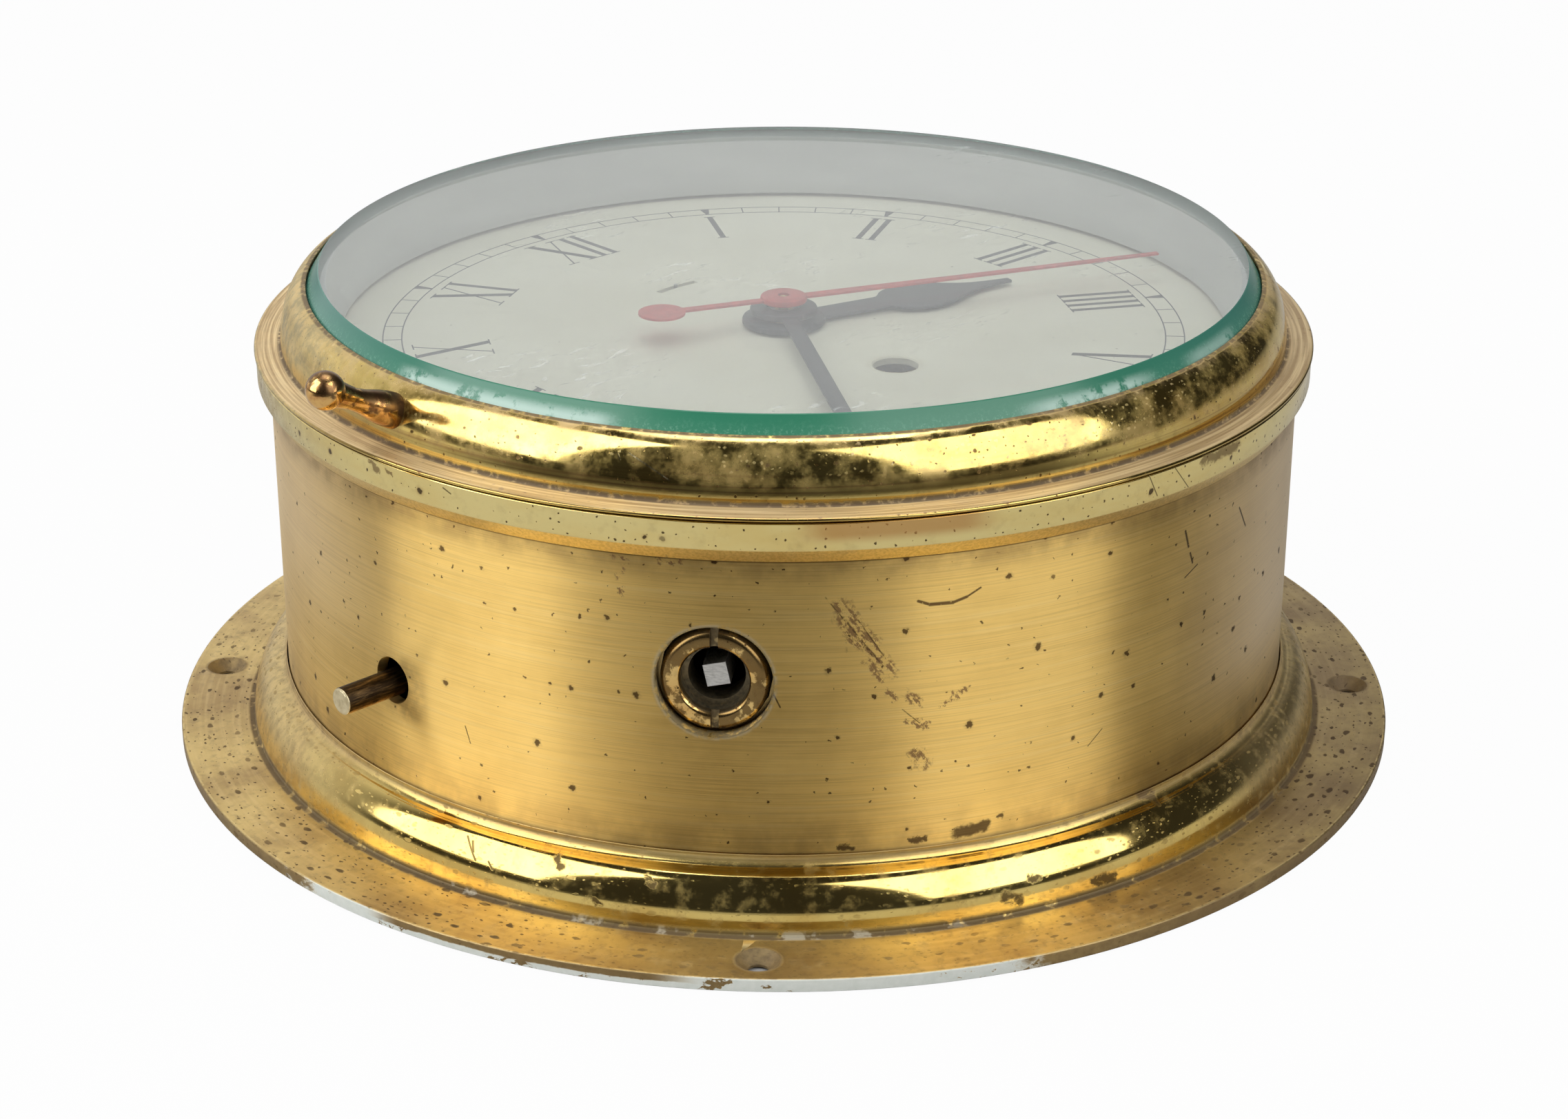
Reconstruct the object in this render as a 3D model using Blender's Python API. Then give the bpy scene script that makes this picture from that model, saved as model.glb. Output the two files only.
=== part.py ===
"""Bulkhead clock: case, hinged bezel, dial, hands and an eight-day movement with a lever platform.

Constants are in millimetres and degrees, and build() turns millimetres into metres. +Z points
out of the dial, the origin is at the centre of the flange's back face, and XII lies along +Y.
Angles named "clock" run clockwise from XII, as on the dial.
"""

import math

import bmesh
import bpy
from mathutils import Matrix, Vector

# Fits
CLEARANCE = 0.3
LAP = 0.2
ROUND = 40
CUTTER_TURN = 7.0

# Drum, which most other sizes follow
DRUM_RADIUS = 96.0
DRUM_WALL = 2.2
RIM_TOP = 75.4

# Base ring: flange, half round and foot
FLANGE_WIDTH = 21.0
FLANGE_THICKNESS = 2.4
FLANGE_SCREW_INSET = 6.4
FLANGE_SCREW_HOLE = 3.6
FLANGE_SCREW_HEAD = 7.5
MOULDING_RADIUS = 5.32
MOULDING_PROUD = 3.54
MOULDING_HEIGHT = 7.66
FOOT_FILLET = 2.3
FOOT_LAP = 0.3
BASE_LIP = 11.5
COVER_THICKNESS = 1.2
LIP_THICKNESS = 2.4
COVER_SCREW = {"inset": 2.6, "shank": 1.2, "bore": 1.5, "head": 2.1, "sink": 0.9, "length": 3.7}

# Rim
RIM_BAND = 4.8
RIM_CHAMFER = 1.75
RIM_PROUD = 2.3
RIM_LEDGE = 6.4
RIM_WALL = 2.2
RIM_SPIGOT = 7.0
LEDGE_THICKNESS = 1.8
LEDGE_REACH = 1.5

# Dial and hands
DIAL_THICKNESS = 1.4
WINDING_RADIUS = 30.0
WINDING_HOLE = 8.4
REGULATOR_RADIUS = 30.8
REGULATOR_SWEEP = 9.0
REGULATOR_SLOT = 1.4
DIAL_SCREW_INSET = 3.7
DIAL_SCREW = {"bore": 1.7, "shank": 1.4, "head": 2.4, "rise": 1.4, "depth": 1.6}
DIAL_SCREW_CLOCKS = (60.0, 180.0, 300.0)
HOUR_CLOCK = 104.5
MINUTE_CLOCK = 212.3
SECONDS_CLOCK = 112.3
# Hands: how far the tips stop short of the sight ring, the hub, and levels above the dial.
# An outline is half widths and reaches as shares of the hand's length, from the hub to the tip.
HOUR_SHORT = 32.9
HOUR_HUB = 7.8
HOUR_LEVELS = (0.45, 0.7, 1.2, 1.75)
HOUR_OUTLINE = (
    (0.058, 0.44), (0.094, 0.458), (0.13, 0.54), (0.137, 0.6),
    (0.124, 0.668), (0.088, 0.732), (0.048, 0.808), (0.026, 0.89), (0.015, 1.0),
)
MINUTE_SHORT = 10.9
MINUTE_HUB = 6.35
MINUTE_LEVELS = (2.5, 2.8, 3.3, 3.8)
MINUTE_OUTLINE = ((0.0208, 0.792), (0.0125, 0.917), (0.0, 1.0))
SECONDS_SHORT = 4.9
SECONDS_HUB = 4.4
SECONDS_LEVELS = (4.7, 5.0, 5.4, 5.9)
SECONDS_OUTLINE = ((0.0141, 0.154), (0.0077, 1.0))
TAIL_NECK = 0.9
TAIL_DISC = 4.4
TAIL_SHARE = 0.309

# Bezel
BEZEL_GAP = 0.35
BEZEL_ROUND = 6.04
BEZEL_ROUND_INSET = 2.75
BEZEL_ROUND_HEIGHT = 5.05
BEZEL_SKIRT_PROUD = 2.6
BEZEL_SKIRT_EDGE = 0.65
BEZEL_RECESS = 0.7
GLASS_INSET = 6.65
GLASS_THICKNESS = 6.4
GLASS_BEVEL = 3.15
GLASS_PROUD = 2.95
GLASS_EDGE = 1.56
SIGHT_INSET = 4.55
SIGHT_TAPER = 1.9
SIGHT_WALL = 0.9
SIGHT_FLANGE = 0.8
SIGHT_LIFT = 0.6
TAB_CLOCK = 268.3
TAB_TILT = 27.5
TAB_REACH = 12.1
TAB_BALL = 3.2
TAB_BALL_HEIGHT = 14.6
TAB_NECK = 2.1
TAB_FOOT = 3.0

# Setting bush and stop pin
BUSH_CLOCK = 229.7
BUSH_DROP = 29.5
BUSH_RADIUS = 9.15
BUSH_HOLE = 9.85
BUSH_MOUTH = 5.75
BUSH_BORE = 4.85
BUSH_DEPTH = 9.0
BUSH_STEP = 3.5
BUSH_SINK = 0.5
BUSH_SLOT = 1.4
BOSS_WALL = 3.0
SQUARE_SIDE = 3.95
SQUARE_TURN = 12.0
STOP_HOLE_CLOCK = 268.0
STOP_HOLE_DROP = 42.1
STOP_HOLE = 4.2
STOP_PIN = 2.45
STOP_PIN_CLOCK = 268.6
STOP_PIN_DROP = 43.1
STOP_PIN_REACH = 10.5
STOP_PIN_CHAMFER = 0.35
STOP_PIN_INNER = 12.0
STOP_PIVOT_INSET = 5.0
STOP_ARBOR = 1.6
STOP_ROD = (2.5, 1.2)
STOP_ARM = {"end": (-2.0, 7.4), "wide": 2.2, "narrow": 0.9, "level": 15.1, "thick": 1.6}

# Plates of the movement, which hangs from the dial
PLATE_RADIUS = 65.0
PLATE_THICKNESS = 2.0
FRONT_PLATE_DROP = 10.0
PLATE_SPACE = 30.0
PLATE_BORE = 2.0
PILLAR_INSET = 7.0
PILLAR_CLOCKS = (20.0, 110.0, 200.0, 290.0)
PILLAR_BORE = 1.3
PILLAR_THICK = 3.0
DIAL_PILLAR_THICK = 2.5

# Wheels: teeth, module and levels above the back plate's top face
GREAT_WHEEL = {"teeth": 36, "module": 1.2, "bottom": 1.6, "thick": 1.8}
INTERMEDIATE_PINION = {"teeth": 6, "module": 1.2, "bottom": 1.0, "thick": 3.0}
INTERMEDIATE_WHEEL = {"teeth": 42, "module": 36.0 / 35.0, "bottom": 20.0, "thick": 1.5}
CENTRE_PINION = {"teeth": 7, "module": 36.0 / 35.0, "bottom": 19.4, "thick": 2.7}
CENTRE_WHEEL = {"teeth": 45, "module": 23.8 / 25.5, "bottom": 23.5, "thick": 1.5}
THIRD_PINION = {"teeth": 6, "module": 23.8 / 25.5, "bottom": 23.0, "thick": 2.6}
THIRD_WHEEL = {"teeth": 48, "module": 23.8 / 27.0, "bottom": 4.0, "thick": 1.5}
FOURTH_PINION = {"teeth": 6, "module": 23.8 / 27.0, "bottom": 3.5, "thick": 2.5}
FOURTH_WHEEL = {"teeth": 42, "module": 0.57, "bottom": 10.0, "thick": 1.2}
ESCAPE_PINION = {"teeth": 6, "module": 0.57, "bottom": 9.4, "thick": 2.4}
TOOTH_TIP = 0.65
TOOTH_ROOT = 1.3
TOOTH_HALF_TIP = 0.06
# Wheels over the front plate, with levels above its top face
CANNON = {"teeth": 10, "module": 0.8, "bottom": 1.6, "thick": 2.6}
MINUTE_WHEEL = {"teeth": 30, "module": 0.8, "bottom": 2.2, "thick": 1.2}
TRANSFER_WHEEL = {"teeth": 14, "module": 0.8, "bottom": 2.0, "thick": 1.6}
MINUTE_PINION = {"teeth": 8, "module": 0.8, "bottom": 5.5, "thick": 2.2}
HOUR_WHEEL = {"teeth": 32, "module": 0.8, "bottom": 6.0, "thick": 1.2}
THIRD_CLOCK = 270.0
ARBOR = 1.2
SECONDS_ARBOR = 0.8
TUBE_WALL = 0.8
PIPE_WALL = 0.7

# Barrel, winding square and click, with levels above the great wheel or the front plate
BARREL = {"radius": 15.8, "wall": 1.2, "height": 13.6, "cap": 1.0, "core": 4.0, "pivot": 1.7}
MAINSPRING = {"inner": 4.7, "turns": 3.5, "thick": 0.7, "gap": 0.6}
WINDING_SQUARE = {"bottom": 2.6, "under": 3.2}
RATCHET = {"teeth": 12, "radius": 7.0, "depth": 1.6, "rake": 0.06, "top": 2.0}
CLICK_AT = (12.5, -24.0)
CLICK = {"bottom": 0.4, "top": 1.8, "bore": 0.8, "gap": 0.35}
CLICK_SCREW = {"head": 1.6, "shank": 0.5, "top": 3.0, "under": 2.1}

# Lever platform, with levels above the back plate's top face
ESCAPE_CLOCK = 40.0
ESCAPE = {"teeth": 15, "radius": 6.3, "depth": 1.5, "bottom": 12.0, "thick": 1.0, "arbor": 0.7}
BALANCE_AT = (0.0, 20.5)
BALANCE = {"radius": 8.5, "rim": 1.3, "bottom": 15.0, "thick": 1.8, "hub": 2.6, "arm": 1.6}
ROLLER = {"radius": 2.4, "bottom": 13.5, "thick": 0.7, "pin": 0.3, "reach": 1.7}
HAIRSPRING = {"inner": 1.3, "outer": 5.2, "turns": 2.5, "thick": 0.3, "bottom": 18.0, "height": 0.6}
PALLET = {"to_escape": 7.5, "to_balance": 10.5, "arm": 4.0, "spread": 73.0, "arbor": 0.45}
PALLET_BRIDGE = {"bottom": 19.6, "thick": 1.3, "foot": (27.0, 26.0)}
COCK = {"bottom": 20.4, "thick": 1.5, "half": 4.0, "reach": 20.0, "neck": 13.5, "bore": 1.1}
INDEX = {"bottom": 22.2, "thick": 0.8, "half": 0.6, "pin": 0.35, "proud": 0.4}

# Hand setting
MITRE_TEETH = 8
MITRE_RADIUS = 5.5
MITRE_DEPTH = 2.75
SETTING_ROD = {"radius": 1.9, "start": 2.2, "square": 7.0, "sunk": 3.4}
TRANSFER_ARBOR = {"radius": 1.5, "below": 3.0}
BRACKET = {"gap": 1.0, "wall": 2.0, "half": 5.0, "foot_half": 3.6, "foot": 1.4, "reach": 3.5, "drop": 3.2}

# Hinge opposite the tab
HINGE_CLOCK = 88.3
HINGE_PROUD = 6.6
HINGE_LIFT = 0.15
HINGE_WIDTH = 16.0
HINGE_PIN = 0.9
HINGE_PLATE = 1.7
HINGE_WEB = 1.4
LEAF_THICKNESS = 1.0
LEAF_ARM = 3.2
KNUCKLE_RADIUS = 1.9
KNUCKLE_LENGTH = 8.0

BRASS = ((0.72, 0.54, 0.24), 0.28, 1.0)
DULL_BRASS = ((0.55, 0.44, 0.24), 0.45, 1.0)
STEEL = ((0.55, 0.55, 0.56), 0.35, 1.0)
BLUED = ((0.16, 0.19, 0.27), 0.40, 1.0)
RED_PAINT = ((0.62, 0.10, 0.08), 0.45, 0.0)
CREAM_PAINT = ((0.80, 0.77, 0.66), 0.55, 0.0)
GREY_PAINT = ((0.66, 0.67, 0.64), 0.70, 0.0)
CLEAR_GLASS = ((0.80, 0.88, 0.84), 0.03, 0.0)


# Places that several pieces share

FLANGE_RADIUS = DRUM_RADIUS + FLANGE_WIDTH
GLASS_RADIUS = DRUM_RADIUS - GLASS_INSET
SIGHT_TOP_RADIUS = GLASS_RADIUS - SIGHT_INSET
SIGHT_FOOT_RADIUS = SIGHT_TOP_RADIUS - SIGHT_TAPER
BUSH_HEIGHT = RIM_TOP - BUSH_DROP
STOP_HOLE_HEIGHT = RIM_TOP - STOP_HOLE_DROP
STOP_PIN_HEIGHT = RIM_TOP - STOP_PIN_DROP
DRUM_TOP = RIM_TOP - RIM_BAND - RIM_CHAMFER - CLEARANCE
LEDGE_TOP = RIM_TOP - RIM_LEDGE
DIAL_BOTTOM = LEDGE_TOP + CLEARANCE
DIAL_TOP = DIAL_BOTTOM + DIAL_THICKNESS
DIAL_RADIUS = DRUM_RADIUS - DRUM_WALL - CLEARANCE - RIM_WALL
FRONT_TOP = LEDGE_TOP - FRONT_PLATE_DROP
FRONT_BOTTOM = FRONT_TOP - PLATE_THICKNESS
BACK_TOP = FRONT_BOTTOM - PLATE_SPACE
PILLAR_RADIUS = PLATE_RADIUS - PILLAR_INSET
STOP_PIVOT_RADIUS = PLATE_RADIUS - STOP_PIVOT_INSET
BEZEL_BOTTOM = RIM_TOP + BEZEL_GAP
ROUND_RADIUS = GLASS_RADIUS - BEZEL_ROUND_INSET
ROUND_HEIGHT = BEZEL_BOTTOM + BEZEL_ROUND_HEIGHT
GLASS_TOP = ROUND_HEIGHT + BEZEL_ROUND + GLASS_PROUD
GLASS_BOTTOM = GLASS_TOP - GLASS_THICKNESS
HINGE_RADIUS = DRUM_RADIUS + HINGE_PROUD
HINGE_HEIGHT = BEZEL_BOTTOM + HINGE_LIFT


def clock(angle, radius):
    """X and y of a point at an angle clockwise from XII."""
    turn = math.radians(angle)
    return radius * math.sin(turn), radius * math.cos(turn)


def meet(first, second, near, far, side):
    """The point at distance near from the first point and far from the second."""
    a, b = Vector(first), Vector(second)
    gap = (b - a).length
    along = (near**2 - far**2 + gap**2) / (2 * gap)
    across = math.sqrt(near**2 - along**2)
    run = (b - a) / gap
    return tuple(a + run * along + Vector((run.y, -run.x)) * across * side)


def pitch_radius(gear):
    return gear["teeth"] * gear["module"] / 2


# Arbors of the train
BARREL_AT = (0.0, -WINDING_RADIUS)
FIRST_SPACING = pitch_radius(GREAT_WHEEL) + pitch_radius(INTERMEDIATE_PINION)
SECOND_SPACING = pitch_radius(INTERMEDIATE_WHEEL) + pitch_radius(CENTRE_PINION)
INTERMEDIATE_AT = meet((0.0, 0.0), BARREL_AT, SECOND_SPACING, FIRST_SPACING, -1)
THIRD_AT = clock(THIRD_CLOCK, pitch_radius(CENTRE_WHEEL) + pitch_radius(THIRD_PINION))
ESCAPE_AT = clock(ESCAPE_CLOCK, pitch_radius(FOURTH_WHEEL) + pitch_radius(ESCAPE_PINION))
PALLET_AT = meet(ESCAPE_AT, BALANCE_AT, PALLET["to_escape"], PALLET["to_balance"], 1)
MINUTE_WHEEL_AT = clock(BUSH_CLOCK, pitch_radius(CANNON) + pitch_radius(MINUTE_WHEEL))
TRANSFER_RADIUS = math.hypot(*MINUTE_WHEEL_AT) + pitch_radius(MINUTE_WHEEL) + pitch_radius(TRANSFER_WHEEL)
TRANSFER_AT = clock(BUSH_CLOCK, TRANSFER_RADIUS)
STOP_PIVOT_AT = clock(STOP_PIN_CLOCK, STOP_PIVOT_RADIUS)


# Outlines


def circle(radius, count=ROUND, centre=(0.0, 0.0)):
    turns = [2 * math.pi * i / count for i in range(count)]
    return [(centre[0] + radius * math.cos(t), centre[1] + radius * math.sin(t)) for t in turns]


def rectangle(x_low, x_high, y_low, y_high):
    return [(x_low, y_low), (x_high, y_low), (x_high, y_high), (x_low, y_high)]


def arc(radius, start, stop, count, centre=(0.0, 0.0)):
    """Points on an arc, with angles in degrees from +X."""
    turns = [math.radians(start + (stop - start) * i / count) for i in range(count + 1)]
    return [(centre[0] + radius * math.cos(t), centre[1] + radius * math.sin(t)) for t in turns]


def gear_outline(teeth, module, turn=0.0):
    """Pointed teeth with backlash; the first tooth's middle is at angle turn from +X."""
    pitch = 2 * math.pi / teeth
    radius = teeth * module / 2
    corners = ((-TOOTH_HALF_TIP, TOOTH_TIP), (TOOTH_HALF_TIP, TOOTH_TIP), (0.5, -TOOTH_ROOT))
    points = []
    for i in range(teeth):
        for share, height in corners:
            angle = turn + pitch * (i + share)
            reach = radius + height * module
            points.append((reach * math.cos(angle), reach * math.sin(angle)))
    return points


def direction(start, end):
    return math.atan2(end[1] - start[1], end[0] - start[0])


def meshed(gear, at, partner, partner_at):
    """The turn that puts a tooth space of the gear on a tooth of its unturned partner."""
    toward = direction(at, partner_at)
    from_partner = (toward + math.pi) / (2 * math.pi / partner["teeth"])
    return toward - (0.5 - from_partner) * 2 * math.pi / gear["teeth"]


def windows(count, inner, outer, arm, steps=2):
    """Openings between the arms of a wheel."""
    openings = []
    for i in range(count):
        middle = 360.0 * (i + 0.5) / count
        out = 180.0 / count - math.degrees(arm / 2 / outer)
        near = 180.0 / count - math.degrees(arm / 2 / inner)
        rim = arc(outer, middle - out, middle + out, steps)
        openings.append(rim + arc(inner, middle + near, middle - near, 1))
    return openings


# Mesh building


def draw(bm, outline, height):
    verts = [bm.verts.new((x, y, height)) for x, y in outline]
    return [bm.edges.new((verts[i - 1], verts[i])) for i in range(len(verts))]


def raise_edges(bm, edges, height):
    """Walls up from closed loops of edges; returns the loops at the top."""
    lifted = bmesh.ops.extrude_edge_only(bm, edges=edges)["geom"]
    verts = [part for part in lifted if isinstance(part, bmesh.types.BMVert)]
    bmesh.ops.translate(bm, verts=verts, vec=(0.0, 0.0, height))
    top = set(verts)
    return [
        part
        for part in lifted
        if isinstance(part, bmesh.types.BMEdge) and set(part.verts) <= top
    ]


def fill(bm, edges):
    bmesh.ops.triangle_fill(bm, use_beauty=True, use_dissolve=False, edges=edges, normal=(0.0, 0.0, 1.0))


def stack(levels, bore=None):
    """A solid of prisms: each level is outline, bottom, top and, if it has any, its own holes."""
    bm = bmesh.new()
    bottom, top = levels[0][1], levels[-1][2]
    bore_edges = draw(bm, bore, bottom) if bore else []
    open_edges = list(bore_edges)
    for level in levels:
        outline, low, high = level[:3]
        holes = level[3] if len(level) > 3 else []
        walls = draw(bm, outline, low)
        for hole in holes:
            walls += draw(bm, hole, low)
        fill(bm, open_edges + walls)
        open_edges = raise_edges(bm, walls, high - low)
    if bore:
        open_edges += raise_edges(bm, bore_edges, top - bottom)
    fill(bm, open_edges)
    return bm


def turned(profile, steps=ROUND):
    """A profile of radius and height pairs turned about Z: a closed ring, or a solid from pole to pole."""
    bm = bmesh.new()
    verts = [bm.verts.new((radius, 0.0, height)) for radius, height in profile]
    on_axis = profile[0][0] == 0.0 and profile[-1][0] == 0.0
    first = 1 if on_axis else 0
    edges = [bm.edges.new((verts[i - 1], verts[i])) for i in range(first, len(verts))]
    bmesh.ops.spin(
        bm,
        geom=verts + edges,
        angle=2 * math.pi,
        steps=steps,
        axis=(0.0, 0.0, 1.0),
        cent=(0.0, 0.0, 0.0),
        use_duplicate=False,
    )
    bmesh.ops.remove_doubles(bm, verts=bm.verts, dist=0.001)
    return bm


def strip(centres, thickness, low, high):
    """A flat band stood on edge along a row of points."""
    left, right = [], []
    for i, here in enumerate(centres):
        before = Vector(centres[max(i - 1, 0)])
        after = Vector(centres[min(i + 1, len(centres) - 1)])
        run = (after - before).normalized()
        across = Vector((-run.y, run.x)) * thickness / 2
        left.append(tuple(Vector(here) + across))
        right.append(tuple(Vector(here) - across))
    return stack([(left + right[::-1], low, high)])


def spiral(start_radius, end_radius, turns, steps, start=0.0):
    count = int(turns * steps)
    points = []
    for i in range(count + 1):
        share = i / count
        radius = start_radius + (end_radius - start_radius) * share
        angle = start + 2 * math.pi * turns * share
        points.append((radius * math.cos(angle), radius * math.sin(angle)))
    return points


# Objects


def material(name, look):
    colour, roughness, metallic = look
    made = bpy.data.materials.new(name)
    made.use_nodes = True
    shader = made.node_tree.nodes["Principled BSDF"]
    shader.inputs["Base Color"].default_value = (*colour, 1.0)
    shader.inputs["Roughness"].default_value = roughness
    shader.inputs["Metallic"].default_value = metallic
    return made


def build(name, bm, look, at=(0.0, 0.0, 0.0), turn=None):
    """An object from a mesh in millimetres, placed by its location and rotation."""
    bmesh.ops.recalc_face_normals(bm, faces=bm.faces)
    bmesh.ops.scale(bm, vec=(0.001, 0.001, 0.001), verts=bm.verts)
    mesh = bpy.data.meshes.new(name)
    bm.to_mesh(mesh)
    bm.free()
    mesh.shade_smooth()
    mesh.set_sharp_from_angle(angle=math.radians(35))
    mesh.materials.append(material(name, look))
    made = bpy.data.objects.new(name, mesh)
    made.location = Vector((*at, 0.0)[:3]) * 0.001
    if turn is not None:
        made.rotation_euler = turn.to_euler()
    bpy.context.scene.collection.objects.link(made)
    return made


def radial(angle, height, along=0.0, roll=0.0):
    """Place and turn for a piece built along +Z that points outward from the axis at a clock angle."""
    out = Vector((*clock(angle, 1.0), 0.0))
    side = Vector((0.0, 0.0, 1.0)).cross(out)
    turn = Matrix((side, out.cross(side), out)).transposed() @ Matrix.Rotation(math.radians(roll), 3, "Z")
    return (*clock(angle, along), height), turn


def askew():
    """A turn that keeps a cutter's corners off the edges of the ring that it cuts."""
    return Matrix.Rotation(math.radians(CUTTER_TURN), 3, "Z")


def tool(name, bm, at=(0.0, 0.0, 0.0), turn=None):
    made = build(name, bm, DULL_BRASS, at, turn)
    made.hide_render = True
    made.display_type = "WIRE"
    return made


def combine(target, others, operation="DIFFERENCE"):
    for other in others:
        change = target.modifiers.new(other.name, "BOOLEAN")
        change.operation = operation
        change.solver = "EXACT"
        change.object = other


def axis(name, at):
    empty = bpy.data.objects.new(name, None)
    empty.location = Vector((*at, 0.0)[:3]) * 0.001
    bpy.context.scene.collection.objects.link(empty)
    return empty


def carry(empty, pieces):
    """Parents pieces to the empty that stands on their joint, where they are."""
    for piece in pieces:
        piece.parent = empty
        piece.location = piece.location - empty.location


# Case


def base_moulding():
    centre = DRUM_RADIUS + MOULDING_PROUD
    inner = DRUM_RADIUS + CLEARANCE
    seat = COVER_THICKNESS + CLEARANCE
    profile = [(FLANGE_RADIUS, 0.0), (FLANGE_RADIUS, FLANGE_THICKNESS)]
    half_round = arc(MOULDING_RADIUS, -64.0, 104.0, 5, (centre, MOULDING_HEIGHT))
    profile.append((half_round[0][0], FLANGE_THICKNESS))
    profile += half_round
    foot = half_round[-1][1] + FOOT_FILLET
    profile += arc(FOOT_FILLET, 255.0, 195.0, 2, (inner + FOOT_FILLET, foot))
    profile += [(inner + FOOT_LAP, foot + FOOT_LAP), (inner, foot + FOOT_LAP)]
    profile += [(inner, seat + LIP_THICKNESS), (inner - BASE_LIP, seat + LIP_THICKNESS)]
    profile += [(inner - BASE_LIP, seat), (inner - BASE_LIP / 2, seat), (inner - BASE_LIP / 2, 0.0)]
    ring = build("base_moulding", turned(profile), DULL_BRASS)
    hole, head = FLANGE_SCREW_HOLE / 2, FLANGE_SCREW_HEAD / 2
    cone = FLANGE_THICKNESS - (head - hole)
    cutter = [(0.0, -1.0), (hole, -1.0), (hole, cone)]
    cutter += [(head + 1.0, FLANGE_THICKNESS + 1.0), (0.0, FLANGE_THICKNESS + 1.0)]
    for i in range(4):
        place = clock(45.0 + 90.0 * i, FLANGE_RADIUS - FLANGE_SCREW_INSET)
        combine(ring, [tool(f"cut_flange_{i}", turned(cutter, 12), place, askew())])
        place = clock(90.0 * i, cover_screw_radius())
        bore = stack([(circle(COVER_SCREW["bore"], 8), seat / 2, seat + 2 * LIP_THICKNESS)])
        combine(ring, [tool(f"cut_lip_{i}", bore, place, askew())])
    return ring


def cover_radius():
    return DRUM_RADIUS + CLEARANCE - BASE_LIP / 2 - CLEARANCE


def cover_screw_radius():
    return cover_radius() - COVER_SCREW["inset"]


def rear_cover():
    bore, shank_radius, head = COVER_SCREW["bore"], COVER_SCREW["shank"], COVER_SCREW["head"]
    sink_depth, length = COVER_SCREW["sink"], COVER_SCREW["length"]
    holes = [circle(bore, 8, clock(90.0 * i, cover_screw_radius())) for i in range(4)]
    cover = build("rear_cover", stack([(circle(cover_radius()), 0.0, COVER_THICKNESS, holes)]), DULL_BRASS)
    shank = [(0.0, length), (shank_radius, length), (shank_radius, sink_depth), (head, 0.0), (0.0, 0.0)]
    wide, tip = head + CLEARANCE, COVER_THICKNESS - 0.05
    sink = [(0.0, -1.0), (wide + 1.0, -1.0), (wide - tip, tip), (0.0, tip)]
    for i in range(4):
        place = clock(90.0 * i, cover_screw_radius())
        combine(cover, [tool(f"cut_cover_{i}", turned(sink, 12), place, askew())])
        build(f"rear_cover_screw_{i + 1}", turned(shank, 8), STEEL, place)
    return cover


def case_drum():
    outer, inner = circle(DRUM_RADIUS), circle(DRUM_RADIUS - DRUM_WALL)
    low = COVER_THICKNESS + LIP_THICKNESS + 2 * CLEARANCE
    drum = build("case_drum", stack([(outer, low, DRUM_TOP, [inner])]), BRASS)
    place, turn = radial(BUSH_CLOCK, BUSH_HEIGHT)
    bush_cut = stack([(circle(BUSH_HOLE, 32), DRUM_RADIUS - 4 * DRUM_WALL, DRUM_RADIUS + DRUM_WALL)])
    combine(drum, [tool("cut_bush", bush_cut, place, turn)])
    place, turn = radial(STOP_HOLE_CLOCK, STOP_HOLE_HEIGHT)
    stop_cut = stack([(circle(STOP_HOLE, 24), DRUM_RADIUS - 4 * DRUM_WALL, DRUM_RADIUS + DRUM_WALL)])
    combine(drum, [tool("cut_stop", stop_cut, place, turn)])
    return drum


def case_rim():
    band = DRUM_RADIUS + RIM_PROUD
    low = RIM_TOP - RIM_BAND - RIM_CHAMFER
    spigot = DRUM_RADIUS - DRUM_WALL - CLEARANCE
    inner = DIAL_RADIUS + CLEARANCE
    profile = [(band, RIM_TOP), (band, RIM_TOP - RIM_BAND), (band - RIM_CHAMFER, low)]
    profile += [(spigot, low), (spigot, low - RIM_SPIGOT), (inner, low - RIM_SPIGOT)]
    ledge = SIGHT_FOOT_RADIUS + LEDGE_REACH
    profile += [(inner, LEDGE_TOP - LEDGE_THICKNESS), (ledge, LEDGE_TOP - LEDGE_THICKNESS)]
    profile += [(ledge, LEDGE_TOP), (inner, LEDGE_TOP), (inner, RIM_TOP)]
    rim = build("case_rim", turned(profile), BRASS)
    for angle in DIAL_SCREW_CLOCKS:
        place = clock(angle, DIAL_RADIUS - DIAL_SCREW_INSET)
        bore = stack([(circle(DIAL_SCREW["bore"], 8), LEDGE_TOP - 2 * LEDGE_THICKNESS, LEDGE_TOP + 1.0)])
        combine(rim, [tool(f"cut_ledge_{angle:.0f}", bore, place, askew())])
    return rim


def setting_bush():
    face = DRUM_RADIUS - BUSH_SINK
    back = face - BUSH_DEPTH
    step = face - BUSH_STEP
    profile = [(BUSH_RADIUS, face), (BUSH_RADIUS, back), (BUSH_BORE, back), (BUSH_BORE, step)]
    profile += [(BUSH_MOUTH, step), (BUSH_MOUTH, face)]
    place, turn = radial(BUSH_CLOCK, BUSH_HEIGHT)
    bush = build("setting_bush", turned(profile, 28), BRASS, place, turn)
    half, reach = BUSH_SLOT / 2, BUSH_RADIUS + BOSS_WALL
    slot = stack([(rectangle(-half, half, -reach, reach), face - BUSH_STEP / 2, face + 1.0)])
    combine(bush, [tool("cut_spanner", slot, place, turn)])
    seat = drum_seat(reach)
    boss = [(reach, seat), (reach, back), (BUSH_RADIUS + CLEARANCE, back)]
    boss.append((BUSH_RADIUS + CLEARANCE, seat))
    build("setting_boss", turned(boss, 16), DULL_BRASS, place, turn)
    return bush


def drum_seat(half_width):
    """How far out a flat-ended piece of this half width reaches inside the drum."""
    inner = DRUM_RADIUS - DRUM_WALL
    return math.sqrt(inner**2 - half_width**2) - CLEARANCE - LAP


# Bezel


def bevel_foot():
    return GLASS_BOTTOM + GLASS_EDGE


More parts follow.
